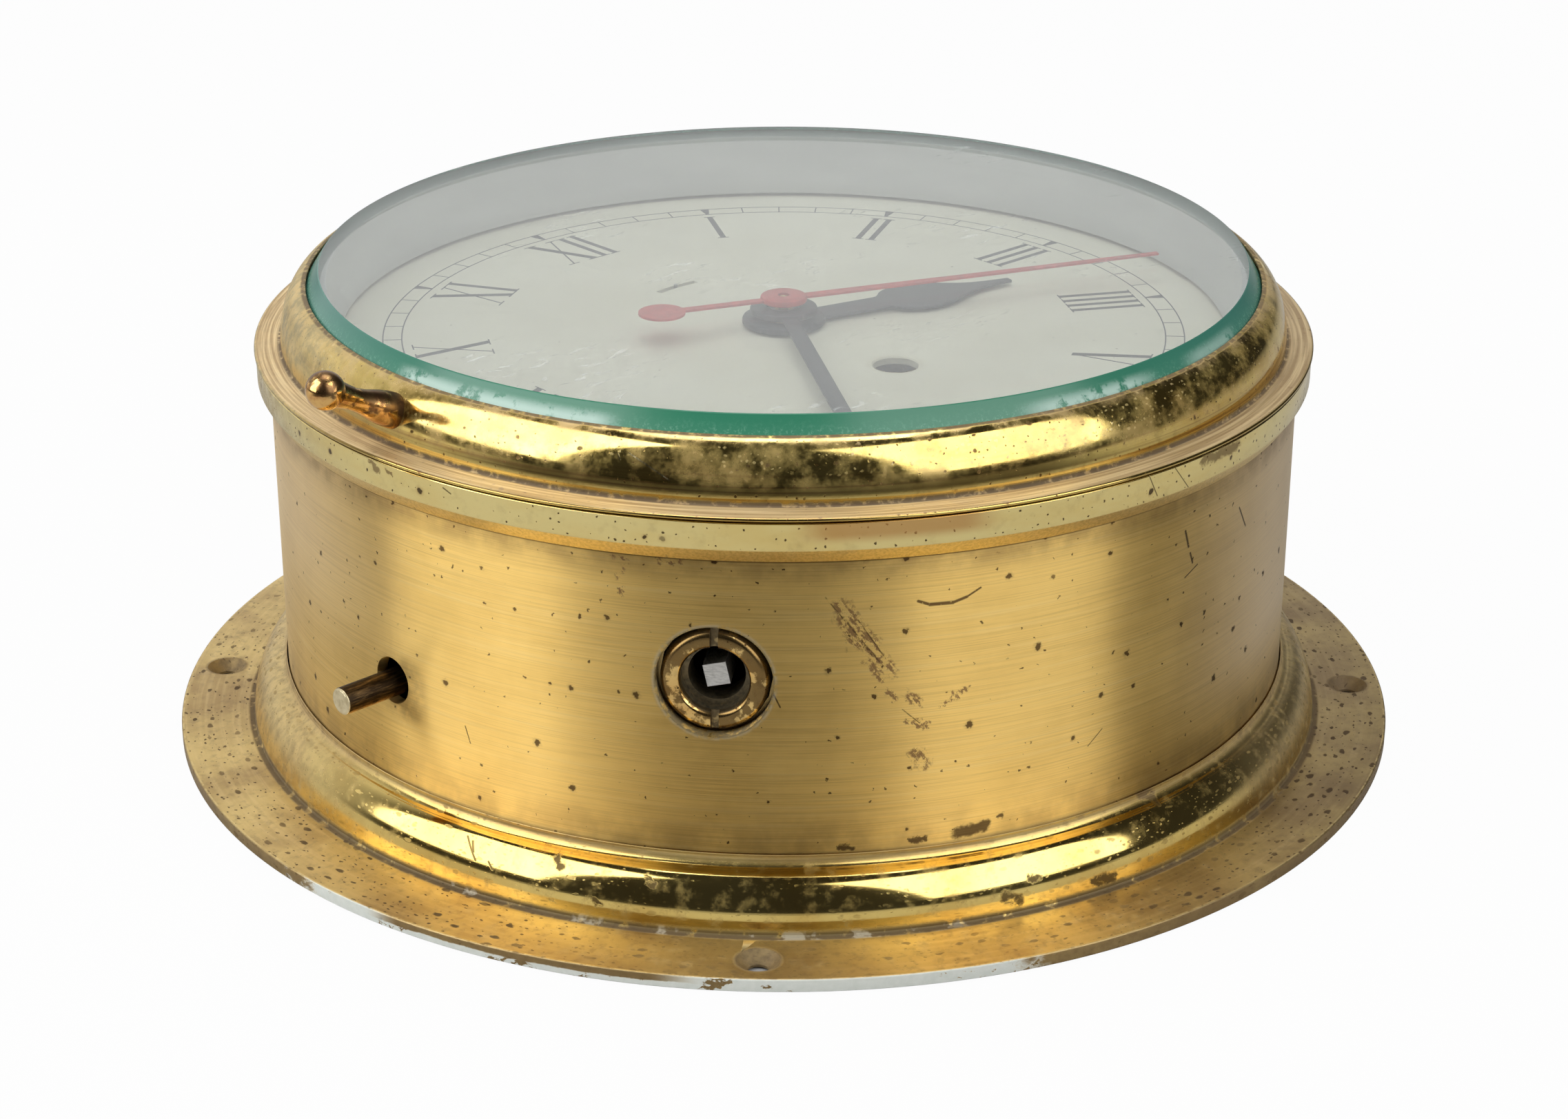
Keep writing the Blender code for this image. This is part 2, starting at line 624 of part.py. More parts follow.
def bezel_ring():
    skirt = DRUM_RADIUS + BEZEL_SKIRT_PROUD
    recess = GLASS_RADIUS + CLEARANCE + BEZEL_RECESS
    profile = arc(BEZEL_ROUND, 68.0, -39.0, 7, (ROUND_RADIUS, ROUND_HEIGHT))
    lip, foot = profile[0], profile[-1]
    profile += [(foot[0] + CLEARANCE, foot[1]), (skirt, BEZEL_BOTTOM + BEZEL_SKIRT_EDGE), (skirt, BEZEL_BOTTOM)]
    profile += [(recess, BEZEL_BOTTOM), (recess, bevel_foot() - CLEARANCE), (lip[0], lip[1] - SIGHT_WALL / 2)]
    return build("bezel", turned(profile), BRASS)


def glass():
    profile = [(0.0, GLASS_TOP), (GLASS_RADIUS - GLASS_BEVEL, GLASS_TOP), (GLASS_RADIUS, bevel_foot())]
    profile += [(GLASS_RADIUS, GLASS_BOTTOM), (0.0, GLASS_BOTTOM)]
    return build("glass", turned(profile), CLEAR_GLASS)


def sight_ring():
    top = GLASS_BOTTOM - CLEARANCE
    foot = DIAL_TOP + SIGHT_LIFT
    edge = GLASS_RADIUS + BEZEL_RECESS + CLEARANCE / 2
    profile = [(edge, top), (edge, top - SIGHT_FLANGE)]
    profile += [(SIGHT_TOP_RADIUS + SIGHT_WALL, top - SIGHT_FLANGE), (SIGHT_FOOT_RADIUS + SIGHT_WALL, foot)]
    profile += [(SIGHT_FOOT_RADIUS, foot), (SIGHT_TOP_RADIUS, top)]
    return build("sight_ring", turned(profile), GREY_PAINT)


def bezel_tab():
    tilt = math.radians(TAB_TILT)
    ball_radius = DRUM_RADIUS + TAB_REACH
    ball_height = RIM_TOP + TAB_BALL_HEIGHT
    length = (ball_radius - ROUND_RADIUS - BEZEL_ROUND) / math.cos(tilt) + TAB_FOOT
    ball = arc(TAB_BALL, 90.0, -48.0, 5, (0.0, length))
    ball[0] = (0.0, ball[0][1])
    neck = [(TAB_NECK, length - TAB_BALL - 0.4), (TAB_NECK + 0.05, length - 2.2 * TAB_BALL)]
    neck += [(TAB_FOOT, length * 0.244), (TAB_FOOT, 0.0), (0.0, 0.0)]
    out = Vector((*clock(TAB_CLOCK, 1.0), 0.0))
    lift = (out * math.cos(tilt) + Vector((0.0, 0.0, math.sin(tilt)))).normalized()
    side = Vector((0.0, 0.0, 1.0)).cross(out).normalized()
    turn = Matrix((side, lift.cross(side), lift)).transposed()
    ball_at = out * ball_radius + Vector((0.0, 0.0, ball_height))
    tab = build("bezel_tab", turned(ball + neck, 16), BRASS, tuple(ball_at - lift * length), turn)
    seat = turned(circle(BEZEL_ROUND + CLEARANCE, 24, (ROUND_RADIUS, ROUND_HEIGHT)), 120)
    combine(tab, [tool("cut_tab_seat", seat)])
    return tab


def hinge():
    """Case bracket, bezel leaf and pin, built along the hinge line and turned into place."""
    out = Vector((*clock(HINGE_CLOCK, 1.0), 0.0))
    side = Vector((0.0, 0.0, 1.0)).cross(out)
    turn = Matrix((out, Vector((0.0, 0.0, 1.0)), -side)).transposed()
    at = (*clock(HINGE_CLOCK, HINGE_RADIUS), HINGE_HEIGHT)
    half, end = KNUCKLE_LENGTH / 2, HINGE_WIDTH / 2
    bore = circle(HINGE_PIN + CLEARANCE, 8)
    middle = stack([(circle(KNUCKLE_RADIUS, 12), -half, half, [bore])])
    bracket = build("hinge_bracket", middle, BRASS, at, turn)
    back = DRUM_RADIUS + RIM_PROUD + CLEARANCE - HINGE_RADIUS
    low = RIM_TOP - RIM_BAND - HINGE_HEIGHT + LAP
    high = RIM_TOP - HINGE_HEIGHT - LAP
    plate = stack([(rectangle(back, back + HINGE_PLATE, low, high), -end, end)])
    under = rectangle(back + HINGE_PLATE / 2, 1.0 - LAP * 2 - KNUCKLE_RADIUS, -HINGE_WEB - 0.8, -0.8)
    web = stack([(under, CLEARANCE - half, half - CLEARANCE)])
    parts = [tool("join_bracket_web", web, at, turn), tool("join_bracket_plate", plate, at, turn)]
    combine(bracket, parts, "UNION")
    inner = ROUND_RADIUS + BEZEL_ROUND + LAP + CLEARANCE - HINGE_RADIUS
    seat = ROUND_HEIGHT - BEZEL_ROUND * math.sin(math.radians(39.0)) + CLEARANCE - HINGE_HEIGHT
    outer = 3 * CLEARANCE - LEAF_ARM
    flat = stack([(rectangle(inner, outer, seat, seat + LEAF_THICKNESS), -end, end)])
    leaf = build("hinge_leaf", flat, BRASS, at, turn)
    top = seat + LEAF_THICKNESS - LAP
    for sign in (-1.0, 1.0):
        low_end, high_end = sorted((sign * (half + CLEARANCE), sign * end))
        eye = stack([(circle(KNUCKLE_RADIUS, 12), low_end, high_end, [bore])])
        reach = rectangle(-LEAF_ARM, -2 * CLEARANCE, KNUCKLE_RADIUS - 0.6, top)
        arm = stack([(reach, low_end + LAP / 2, high_end - LAP / 2)])
        name = "left" if sign < 0 else "right"
        joined = [tool(f"join_leaf_arm_{name}", arm, at, turn), tool(f"join_leaf_eye_{name}", eye, at, turn)]
        combine(leaf, joined, "UNION")
    pin = build("hinge_pin", stack([(circle(HINGE_PIN, 8), -end - 0.5, end + 0.5)]), STEEL, at, turn)
    return bracket, leaf, pin


# Dial and hands


def regulator_slot():
    half, reach = REGULATOR_SLOT / 2, REGULATOR_SWEEP
    outer = arc(REGULATOR_RADIUS + half, 90.0 - reach, 90.0 + reach, 4)
    return outer + arc(REGULATOR_RADIUS - half, 90.0 + reach, 90.0 - reach, 4)


def dial():
    holes = [circle(hour_pipe() + 2 * CLEARANCE, 12), circle(WINDING_HOLE / 2, 20, BARREL_AT), regulator_slot()]
    places = [clock(angle, DIAL_RADIUS - DIAL_SCREW_INSET) for angle in DIAL_SCREW_CLOCKS]
    holes += [circle(DIAL_SCREW["bore"], 8, place) for place in places]
    plate = build("dial", stack([(circle(DIAL_RADIUS), DIAL_BOTTOM, DIAL_TOP, holes)]), CREAM_PAINT)
    low, high = DIAL_TOP + CLEARANCE, DIAL_TOP + CLEARANCE + DIAL_SCREW["rise"]
    head, shank, end = DIAL_SCREW["head"], DIAL_SCREW["shank"], LEDGE_TOP - DIAL_SCREW["depth"]
    screw = [(0.0, high), (head, high), (head, low), (shank, low), (shank, end), (0.0, end)]
    for i, place in enumerate(places):
        build(f"dial_screw_{i + 1}", turned(screw, 8), STEEL, place)
    return plate


def centre_tube():
    return SECONDS_ARBOR + CLEARANCE + TUBE_WALL


def cannon_pipe():
    return centre_tube() + CLEARANCE + PIPE_WALL


def hour_pipe():
    return cannon_pipe() + CLEARANCE + TUBE_WALL


def blade_outline(hub, sides):
    """A hub circle of 24 parts with blades at +Y, and at -Y if there are two, as half outlines."""
    points = []
    for sign, half_outline in sides:
        start = math.degrees(math.asin(half_outline[0][0] / hub))
        right = [(x * sign, y * sign) for x, y in half_outline]
        left = [(-x * sign, y * sign) for x, y in reversed(half_outline) if x > 0.0]
        sweep = 360.0 if len(sides) == 1 else 180.0
        begin = (90.0 if sign > 0 else 270.0) + start
        points += right + left
        points += arc(hub, begin, begin + sweep - 2 * start, 18 if len(sides) == 1 else 9)[1:-1]
    return points


def blade_side(hub, outline, length):
    """Half of a blade, from the hub's circle to the tip."""
    points = [(half * length, reach * length) for half, reach in outline]
    root = points[0][0]
    return [(root, math.sqrt(hub**2 - root**2)), *points]


def hand(name, hub, blade, levels, look, clock_angle, bore):
    """A flat hand: boss, blade and boss again, with a bore for its pipe."""
    low, blade_low, blade_high, high = (DIAL_TOP + level for level in levels)
    boss = circle(hub - 0.2, 24)
    made = [(boss, low, blade_low), (blade, blade_low, blade_high), (boss, blade_high, high)]
    turn = Matrix.Rotation(-math.radians(clock_angle), 3, "Z")
    return build(name, stack(made, bore), look, turn=turn)


def hour_hand():
    side = blade_side(HOUR_HUB, HOUR_OUTLINE, SIGHT_FOOT_RADIUS - HOUR_SHORT)
    blade = blade_outline(HOUR_HUB, [(1, side)])
    bore = circle(hour_pipe() + CLEARANCE, 12)
    return hand("hour_hand", HOUR_HUB, blade, HOUR_LEVELS, BLUED, HOUR_CLOCK, bore)


def minute_hand():
    side = blade_side(MINUTE_HUB, MINUTE_OUTLINE, SIGHT_FOOT_RADIUS - MINUTE_SHORT)
    blade = blade_outline(MINUTE_HUB, [(1, side)])
    bore = circle(cannon_pipe() + CLEARANCE, 12)
    return hand("minute_hand", MINUTE_HUB, blade, MINUTE_LEVELS, BLUED, MINUTE_CLOCK, bore)


def seconds_hand():
    length = SIGHT_FOOT_RADIUS - SECONDS_SHORT
    centre = TAIL_SHARE * length
    tail = [(TAIL_NECK, SECONDS_HUB - 0.1), (TAIL_NECK, centre - TAIL_DISC + 0.1)]
    for angle in (36, 72, 108, 144):
        turn = math.radians(angle)
        tail.append((TAIL_DISC * math.sin(turn), centre - TAIL_DISC * math.cos(turn)))
    tail.append((0.0, centre + TAIL_DISC))
    blade = blade_outline(SECONDS_HUB, [(1, blade_side(SECONDS_HUB, SECONDS_OUTLINE, length)), (-1, tail)])
    bore = circle(SECONDS_ARBOR + CLEARANCE, 12)
    return hand("seconds_hand", SECONDS_HUB, blade, SECONDS_LEVELS, RED_PAINT, SECONDS_CLOCK, bore)


# Movement


def plates():
    holes = [circle(PILLAR_BORE, 8, clock(a, PILLAR_RADIUS)) for a in PILLAR_CLOCKS]
    back = stack([(circle(PLATE_RADIUS, 36), BACK_TOP - PLATE_THICKNESS, BACK_TOP, holes)])
    front_holes = holes + [circle(centre_tube() + CLEARANCE, 12), circle(PLATE_BORE, 12, BARREL_AT)]
    front_holes += [circle(TRANSFER_ARBOR["radius"] + CLEARANCE, 12, TRANSFER_AT), index_window()]
    front = stack([(circle(PLATE_RADIUS, 36), FRONT_BOTTOM, FRONT_TOP, front_holes)])
    made = [build("back_plate", back, BRASS), build("front_plate", front, BRASS)]
    pillar = [(circle(PILLAR_THICK, 8), BACK_TOP + CLEARANCE, FRONT_BOTTOM - CLEARANCE)]
    post = [(circle(DIAL_PILLAR_THICK, 8), FRONT_TOP + CLEARANCE, DIAL_BOTTOM - CLEARANCE)]
    for i, angle in enumerate(PILLAR_CLOCKS):
        build(f"movement_pillar_{i + 1}", stack(pillar), BRASS, clock(angle, PILLAR_RADIUS))
        build(f"dial_pillar_{i + 1}", stack(post), BRASS, clock(angle, PILLAR_RADIUS))
    return made


def index_window():
    """Opening in the front plate for the regulator's upright."""
    half = REGULATOR_RADIUS * math.sin(math.radians(REGULATOR_SWEEP))
    slack = 3 * CLEARANCE + REGULATOR_SLOT / 2
    return rectangle(-half, half, REGULATOR_RADIUS - slack - 2 * CLEARANCE, REGULATOR_RADIUS + slack)


def levels_of(gear, base):
    low = base + gear["bottom"]
    return low, low + gear["thick"]


def teeth_of(gear, turn=0.0):
    return gear_outline(gear["teeth"], gear["module"], turn)


def barrel():
    low, high = levels_of(GREAT_WHEEL, BACK_TOP)
    radius, wall, top = BARREL["radius"], BARREL["wall"], high + BARREL["height"]
    bore = circle(BARREL["pivot"] + CLEARANCE, 12)
    cup = [
        (teeth_of(GREAT_WHEEL), low, high, [bore]),
        (circle(radius, 24), high, top, [circle(radius - wall, 24)]),
    ]
    wheel = build("barrel", stack(cup), BRASS, BARREL_AT)
    lid = stack([(circle(radius, 24), top + CLEARANCE, top + CLEARANCE + BARREL["cap"], [bore])])
    cap = build("barrel_cap", lid, BRASS, BARREL_AT)
    thick, gap = MAINSPRING["thick"], MAINSPRING["gap"]
    coil = spiral(MAINSPRING["inner"], radius - wall - CLEARANCE - thick / 2, MAINSPRING["turns"], 10)
    spring = build("mainspring", strip(coil, thick, high + gap, top - gap), STEEL, BARREL_AT)
    return wheel, cap, spring


def winding_arbor():
    high = levels_of(GREAT_WHEEL, BACK_TOP)[1] + CLEARANCE
    core = high + BARREL["height"] - 2 * CLEARANCE
    low, end = FRONT_TOP + WINDING_SQUARE["bottom"], DIAL_TOP - WINDING_SQUARE["under"]
    side, pivot = SQUARE_SIDE / 2, BARREL["pivot"]
    shaft = [
        (circle(pivot, 12), BACK_TOP + CLEARANCE, high),
        (circle(BARREL["core"], 12), high, core),
        (circle(pivot, 12), core, low),
        (rectangle(-side, side, -side, side), low, end),
    ]
    arbor = build("winding_arbor", stack(shaft), STEEL, BARREL_AT)
    teeth = []
    for i in range(RATCHET["teeth"]):
        tip = 2 * math.pi * i / RATCHET["teeth"]
        for depth, turn in ((0.0, tip), (RATCHET["depth"], tip + RATCHET["rake"])):
            radius = RATCHET["radius"] - depth
            teeth.append((radius * math.cos(turn), radius * math.sin(turn)))
    disc = stack([(teeth, FRONT_TOP + CLEARANCE, FRONT_TOP + RATCHET["top"])], circle(pivot + CLEARANCE, 12))
    ratchet = build("ratchet_wheel", disc, STEEL, BARREL_AT)
    return arbor, ratchet


def click():
    """The pawl: its nose stands in a tooth space of the ratchet wheel, toward local +X."""
    toward = direction(CLICK_AT, BARREL_AT)
    reach = math.dist(CLICK_AT, BARREL_AT) - RATCHET["radius"] - CLICK["gap"]
    nose = [(-1.6, -1.2), (reach - 1.2, -1.1), (reach, 0.2), (reach - 0.8, 1.0), (-1.6, 1.2), (-2.3, 0.0)]
    body = stack([(nose, FRONT_TOP + CLICK["bottom"], FRONT_TOP + CLICK["top"])], circle(CLICK["bore"], 8))
    pawl = build("click", body, STEEL, CLICK_AT, Matrix.Rotation(toward, 3, "Z"))
    head, shank = CLICK_SCREW["head"], CLICK_SCREW["shank"]
    top, under, end = (FRONT_TOP + level for level in (CLICK_SCREW["top"], CLICK_SCREW["under"], CLEARANCE))
    screw = [(0.0, top), (head, top), (head, under), (shank, under), (shank, end), (0.0, end)]
    build("click_screw", turned(screw, 10), STEEL, CLICK_AT)
    return pawl


def arboured(name, parts, at, low, high, radius, look=BRASS, bore=None):
    """A wheel and pinion on an arbor. Parts are outline, bottom, top and openings, from below up."""
    levels, reached = [], low
    for part in parts:
        if part[1] > reached:
            levels.append((circle(radius, 8), reached, part[1]))
        levels.append(part)
        reached = part[2]
    if high > reached:
        levels.append((circle(radius, 8), reached, high))
    return build(name, stack(levels, bore), look, at)


def going_train():
    """Each wheel drives the next one's pinion; the turns put them in mesh."""
    base, roof = BACK_TOP + CLEARANCE, FRONT_BOTTOM - CLEARANCE
    centre = (0.0, 0.0)
    turn = meshed(INTERMEDIATE_PINION, INTERMEDIATE_AT, GREAT_WHEEL, BARREL_AT)
    pinion = (teeth_of(INTERMEDIATE_PINION, turn), *levels_of(INTERMEDIATE_PINION, BACK_TOP))
    wheel = (teeth_of(INTERMEDIATE_WHEEL), *levels_of(INTERMEDIATE_WHEEL, BACK_TOP))
    arboured("intermediate_wheel", [pinion, wheel], INTERMEDIATE_AT, base, roof, ARBOR)

    turn = meshed(CENTRE_PINION, centre, INTERMEDIATE_WHEEL, INTERMEDIATE_AT)
    pinion = (teeth_of(CENTRE_PINION, turn), *levels_of(CENTRE_PINION, BACK_TOP))
    wheel = (teeth_of(CENTRE_WHEEL), *levels_of(CENTRE_WHEEL, BACK_TOP))
    low, high = pinion[1], DIAL_TOP + MINUTE_LEVELS[2] - LAP / 2
    bore = circle(SECONDS_ARBOR + CLEARANCE, 12)
    arboured("centre_wheel", [pinion, wheel], centre, low, high, centre_tube(), BRASS, bore)

    turn = meshed(THIRD_PINION, THIRD_AT, CENTRE_WHEEL, centre)
    wheel = (teeth_of(THIRD_WHEEL), *levels_of(THIRD_WHEEL, BACK_TOP))
    pinion = (teeth_of(THIRD_PINION, turn), *levels_of(THIRD_PINION, BACK_TOP))
    arboured("third_wheel", [wheel, pinion], THIRD_AT, base, roof, ARBOR)

    turn = meshed(FOURTH_PINION, centre, THIRD_WHEEL, THIRD_AT)
    wheel = (teeth_of(FOURTH_WHEEL), *levels_of(FOURTH_WHEEL, BACK_TOP))
    pinion = (teeth_of(FOURTH_PINION, turn), *levels_of(FOURTH_PINION, BACK_TOP))
    high = DIAL_TOP + SECONDS_LEVELS[3] - CLEARANCE
    arboured("fourth_wheel", [pinion, wheel], centre, base, high, SECONDS_ARBOR)


def escapement():
    base = BACK_TOP + CLEARANCE
    low, high = levels_of(ESCAPE, BACK_TOP)
    turn = meshed(ESCAPE_PINION, ESCAPE_AT, FOURTH_WHEEL, (0.0, 0.0))
    pinion = (teeth_of(ESCAPE_PINION, turn), *levels_of(ESCAPE_PINION, BACK_TOP))
    root = ESCAPE["radius"] - ESCAPE["depth"]
    teeth = []
    for i in range(ESCAPE["teeth"]):
        tip = 2 * math.pi * i / ESCAPE["teeth"]
        for radius, lag in ((ESCAPE["radius"], 0.0), (root, -0.05), (root - 0.1, 0.16)):
            teeth.append((radius * math.cos(tip + lag), radius * math.sin(tip + lag)))
    roof = BACK_TOP + PALLET_BRIDGE["bottom"] - CLEARANCE
    arboured("escape_wheel", [pinion, (teeth, low, high)], ESCAPE_AT, base, roof, ESCAPE["arbor"])
    pallet_lever(base, low, high, roof)
    balance(base, low)


def pallet_arm(angle):
    reach = PALLET["arm"]
    return [(reach * math.cos(angle + half), reach * math.sin(angle + half)) for half in (-0.14, 0.14)]


def pallet_lever(base, low, high, roof):
    """Anchor over the escape wheel and a forked arm to the balance; local +X points to the balance."""
    toward = direction(PALLET_AT, BALANCE_AT)
    wheel = direction(PALLET_AT, ESCAPE_AT) - toward
    spread = math.radians(PALLET["spread"])
    tip = PALLET["to_balance"] - 1.0
    outline = [(-0.9, -0.9), (1.2, -0.6), (tip - 2.2, -0.8), (tip, -1.3), (tip, -0.55)]
    outline += [(tip - 1.3, -0.55), (tip - 1.3, 0.55), (tip, 0.55), (tip, 1.3)]
    outline += [(tip - 2.2, 0.8), (2.0, 0.6)]
    outline += pallet_arm(wheel - spread) + [(0.2, 1.0)] + pallet_arm(wheel + spread)
    shaft = circle(PALLET["arbor"], 8)
    levels = [(shaft, base, low), (outline, low, high), (shaft, high, roof)]
    return build("pallet_lever", stack(levels), STEEL, PALLET_AT, Matrix.Rotation(toward, 3, "Z"))


def balance(base, lever_low):
    turn = Matrix.Rotation(direction(BALANCE_AT, PALLET_AT), 3, "Z")
    staff, roof = circle(SECONDS_ARBOR, 10), BACK_TOP + COCK["bottom"] - LAP / 2
    roller_low, roller_high = levels_of(ROLLER, BACK_TOP)
    rim_low, rim_high = levels_of(BALANCE, BACK_TOP)
    arms = windows(2, BALANCE["hub"], BALANCE["radius"] - BALANCE["rim"], BALANCE["arm"], 5)
    levels = [
        (circle(ROLLER["pin"], 6, (ROLLER["reach"], 0.0)), lever_low, roller_low),
        (circle(ROLLER["radius"], 16), roller_low, roller_high),
        (staff, roller_high, rim_low),
        (circle(BALANCE["radius"], 24), rim_low, rim_high, arms),
        (staff, rim_high, roof - CLEARANCE),
    ]
    wheel = build("balance_wheel", stack(levels), BRASS, BALANCE_AT, turn)
    lower = stack([(staff, base, roller_low + CLEARANCE)])
    combine(wheel, [tool("join_lower_staff", lower, BALANCE_AT, turn)], "UNION")
    coil = spiral(HAIRSPRING["inner"], HAIRSPRING["outer"], HAIRSPRING["turns"], 10)
    low = BACK_TOP + HAIRSPRING["bottom"]
    spring = strip(coil, HAIRSPRING["thick"], low, low + HAIRSPRING["height"])
    build("hairspring", spring, BLUED, BALANCE_AT)
    return wheel


def bridges():
    """The balance cock and the pallet bridge hang from the front plate, clear of the centre wheel."""
    roof = FRONT_BOTTOM - CLEARANCE
    half, neck, reach = COCK["half"], COCK["neck"], COCK["reach"]
    arm = arc(half - 1.0, 180.0, 360.0, 6) + [(half, neck), (half, reach), (-half, reach), (-half, neck)]
    foot = rectangle(0.4 - half, half - 0.4, neck + 0.4, reach - 0.4)
    low, high = levels_of(COCK, BACK_TOP)
    cock = stack([(arm, low, high, [circle(COCK["bore"], 10)]), (foot, high, roof)])
    build("balance_cock", cock, BRASS, BALANCE_AT)
    low, high = levels_of(PALLET_BRIDGE, BACK_TOP)
    run, turn = math.dist(ESCAPE_AT, PALLET_BRIDGE["foot"]), direction(ESCAPE_AT, PALLET_BRIDGE["foot"])
    pallet = Matrix.Rotation(-turn, 2) @ (Vector(PALLET_AT) - Vector(ESCAPE_AT))
    plan = arc(2.4, 150.0, 330.0, 5) + [(run - 4.0, -3.0), (run + 3.0, -3.0), (run + 3.0, 3.0)]
    plan += [(run - 4.0, 3.0), (pallet.x + 2.2, pallet.y + 1.2), (pallet.x - 0.4, pallet.y + 2.0)]
    plan += [(pallet.x - 2.2, pallet.y + 0.4)]
    foot = rectangle(run - 2.6, run + 2.6, -2.6, 2.6)
    bridge = stack([(plan, low, high), (foot, high, roof)])
    build("pallet_bridge", bridge, BRASS, ESCAPE_AT, Matrix.Rotation(turn, 3, "Z"))


def regulator():
    """Index over the cock: a hub, an arm and an upright that ends in the dial's slot."""
    low, high = levels_of(INDEX, BACK_TOP)
    reach, half = REGULATOR_RADIUS + LAP - BALANCE_AT[1], INDEX["half"]
    arm = arc(COCK["bore"] * 2, 205.0, 335.0, 5) + [(half, reach - 0.8), (half, reach + half)]
    arm += [(-half, reach + half), (-half, reach - 0.8)]
    upright = circle(INDEX["pin"], 8, (0.0, reach))
    levels = [(arm, low, high), (upright, high, DIAL_TOP + INDEX["proud"])]
    return build("regulator_index", stack(levels), STEEL, BALANCE_AT)


def motion_work():
    base, tube, pipe = FRONT_TOP + CLEARANCE, centre_tube() + CLEARANCE, cannon_pipe()
    turn = meshed(CANNON, (0.0, 0.0), MINUTE_WHEEL, MINUTE_WHEEL_AT)
    teeth = (teeth_of(CANNON, turn), *levels_of(CANNON, FRONT_TOP))
    top = DIAL_TOP + MINUTE_LEVELS[3] - LAP
    arboured("cannon_pinion", [teeth], (0.0, 0.0), base, top, pipe, STEEL, circle(tube, 12))

    wheel = (teeth_of(MINUTE_WHEEL), *levels_of(MINUTE_WHEEL, FRONT_TOP))
    pinion = (teeth_of(MINUTE_PINION), *levels_of(MINUTE_PINION, FRONT_TOP))
    arboured("minute_wheel", [wheel, pinion], MINUTE_WHEEL_AT, base, LEDGE_TOP - LAP, 1.0)

    turn = meshed(HOUR_WHEEL, (0.0, 0.0), MINUTE_PINION, MINUTE_WHEEL_AT)
    teeth = (teeth_of(HOUR_WHEEL, turn), *levels_of(HOUR_WHEEL, FRONT_TOP))
    bore, top = circle(pipe + CLEARANCE, 16), DIAL_TOP + HOUR_LEVELS[3] - LAP
    arboured("hour_wheel", [teeth], (0.0, 0.0), teeth[1], top, hour_pipe(), BRASS, bore)


def mitre(turn=0.0):
    """Teeth that taper to the point where two axes cross, which is the local origin."""
    module = 2 * MITRE_RADIUS / MITRE_TEETH
    wide = gear_outline(MITRE_TEETH, module, turn)
    near = (MITRE_RADIUS - MITRE_DEPTH) / MITRE_RADIUS
    bm = bmesh.new()
    walls = draw(bm, wide, -MITRE_RADIUS)
    fill(bm, walls)
    top = raise_edges(bm, walls, MITRE_DEPTH)
    verts = list({vert for edge in top for vert in edge.verts})
    bmesh.ops.scale(bm, vec=(near, near, 1.0), verts=verts)
    fill(bm, top)
    return bm


def hand_setting():
    """Radial arbor behind the bush, and the transfer arbor that it turns through a mitre pair."""
    cross = (*TRANSFER_AT, BUSH_HEIGHT)
    place, turn = radial(BUSH_CLOCK, BUSH_HEIGHT)
    side = SQUARE_SIDE / 2
    inner, end = TRANSFER_RADIUS + SETTING_ROD["start"], DRUM_RADIUS - SETTING_ROD["sunk"]
    step = end - SETTING_ROD["square"]
    square = rectangle(-side, side, -side, side)
    rod = stack([(circle(SETTING_ROD["radius"], 16), inner, step), (square, step, end)])
    roll = Matrix.Rotation(math.radians(SQUARE_TURN), 3, "Z")
    arbor = build("setting_arbor", rod, STEEL, place, turn @ roll)
    gear_turn = turn @ Matrix.Rotation(math.pi, 3, "X")
    combine(arbor, [tool("join_setting_mitre", mitre(math.pi / 2), cross, gear_turn)], "UNION")
    half_tooth = math.pi / MITRE_TEETH
    toward = direction(TRANSFER_AT, (0.0, 0.0)) + math.pi
    low = BUSH_HEIGHT - MITRE_RADIUS - TRANSFER_ARBOR["below"]
    phase = meshed(TRANSFER_WHEEL, TRANSFER_AT, MINUTE_WHEEL, MINUTE_WHEEL_AT)
    teeth = (teeth_of(TRANSFER_WHEEL, phase), *levels_of(TRANSFER_WHEEL, FRONT_TOP))
    shaft = arboured("transfer_arbor", [teeth], TRANSFER_AT, low, teeth[2], TRANSFER_ARBOR["radius"], STEEL)
    combine(shaft, [tool("join_transfer_mitre", mitre(toward + half_tooth), cross)], "UNION")
    bracket(place, turn)
    return arbor, shaft


def bracket(cross, turn):
    """An angle piece under the front plate that holds the inner end of both setting arbors."""
    inner = TRANSFER_RADIUS + MITRE_RADIUS + BRACKET["gap"]
    low = BUSH_HEIGHT - MITRE_RADIUS - BRACKET["drop"]
    half, foot_half = BRACKET["half"], BRACKET["foot_half"]
    upright = rectangle(-half, half, low, FRONT_BOTTOM - CLEARANCE)
    made = build("setting_bracket", stack([(upright, inner, inner + BRACKET["wall"])]), BRASS, turn=turn)
    foot = rectangle(-foot_half, foot_half, TRANSFER_RADIUS - BRACKET["reach"], inner + BRACKET["gap"])
    out = Matrix.Rotation(-math.radians(BUSH_CLOCK), 3, "Z")
    pocket = stack([(circle(TRANSFER_ARBOR["radius"] + CLEARANCE, 12), low - 1.0, low + 2 * BRACKET["foot"])])
    bore = stack([(circle(SETTING_ROD["radius"] + CLEARANCE, 12), inner - 1.0, inner + 2 * BRACKET["wall"])])
    combine(made, [tool("join_bracket_foot", stack([(foot, low, low + BRACKET["foot"])]), turn=out)], "UNION")
    combine(made, [tool("cut_bracket_pocket", pocket, TRANSFER_AT)])
    combine(made, [tool("cut_bracket_bore", bore, cross, turn)])
    return made


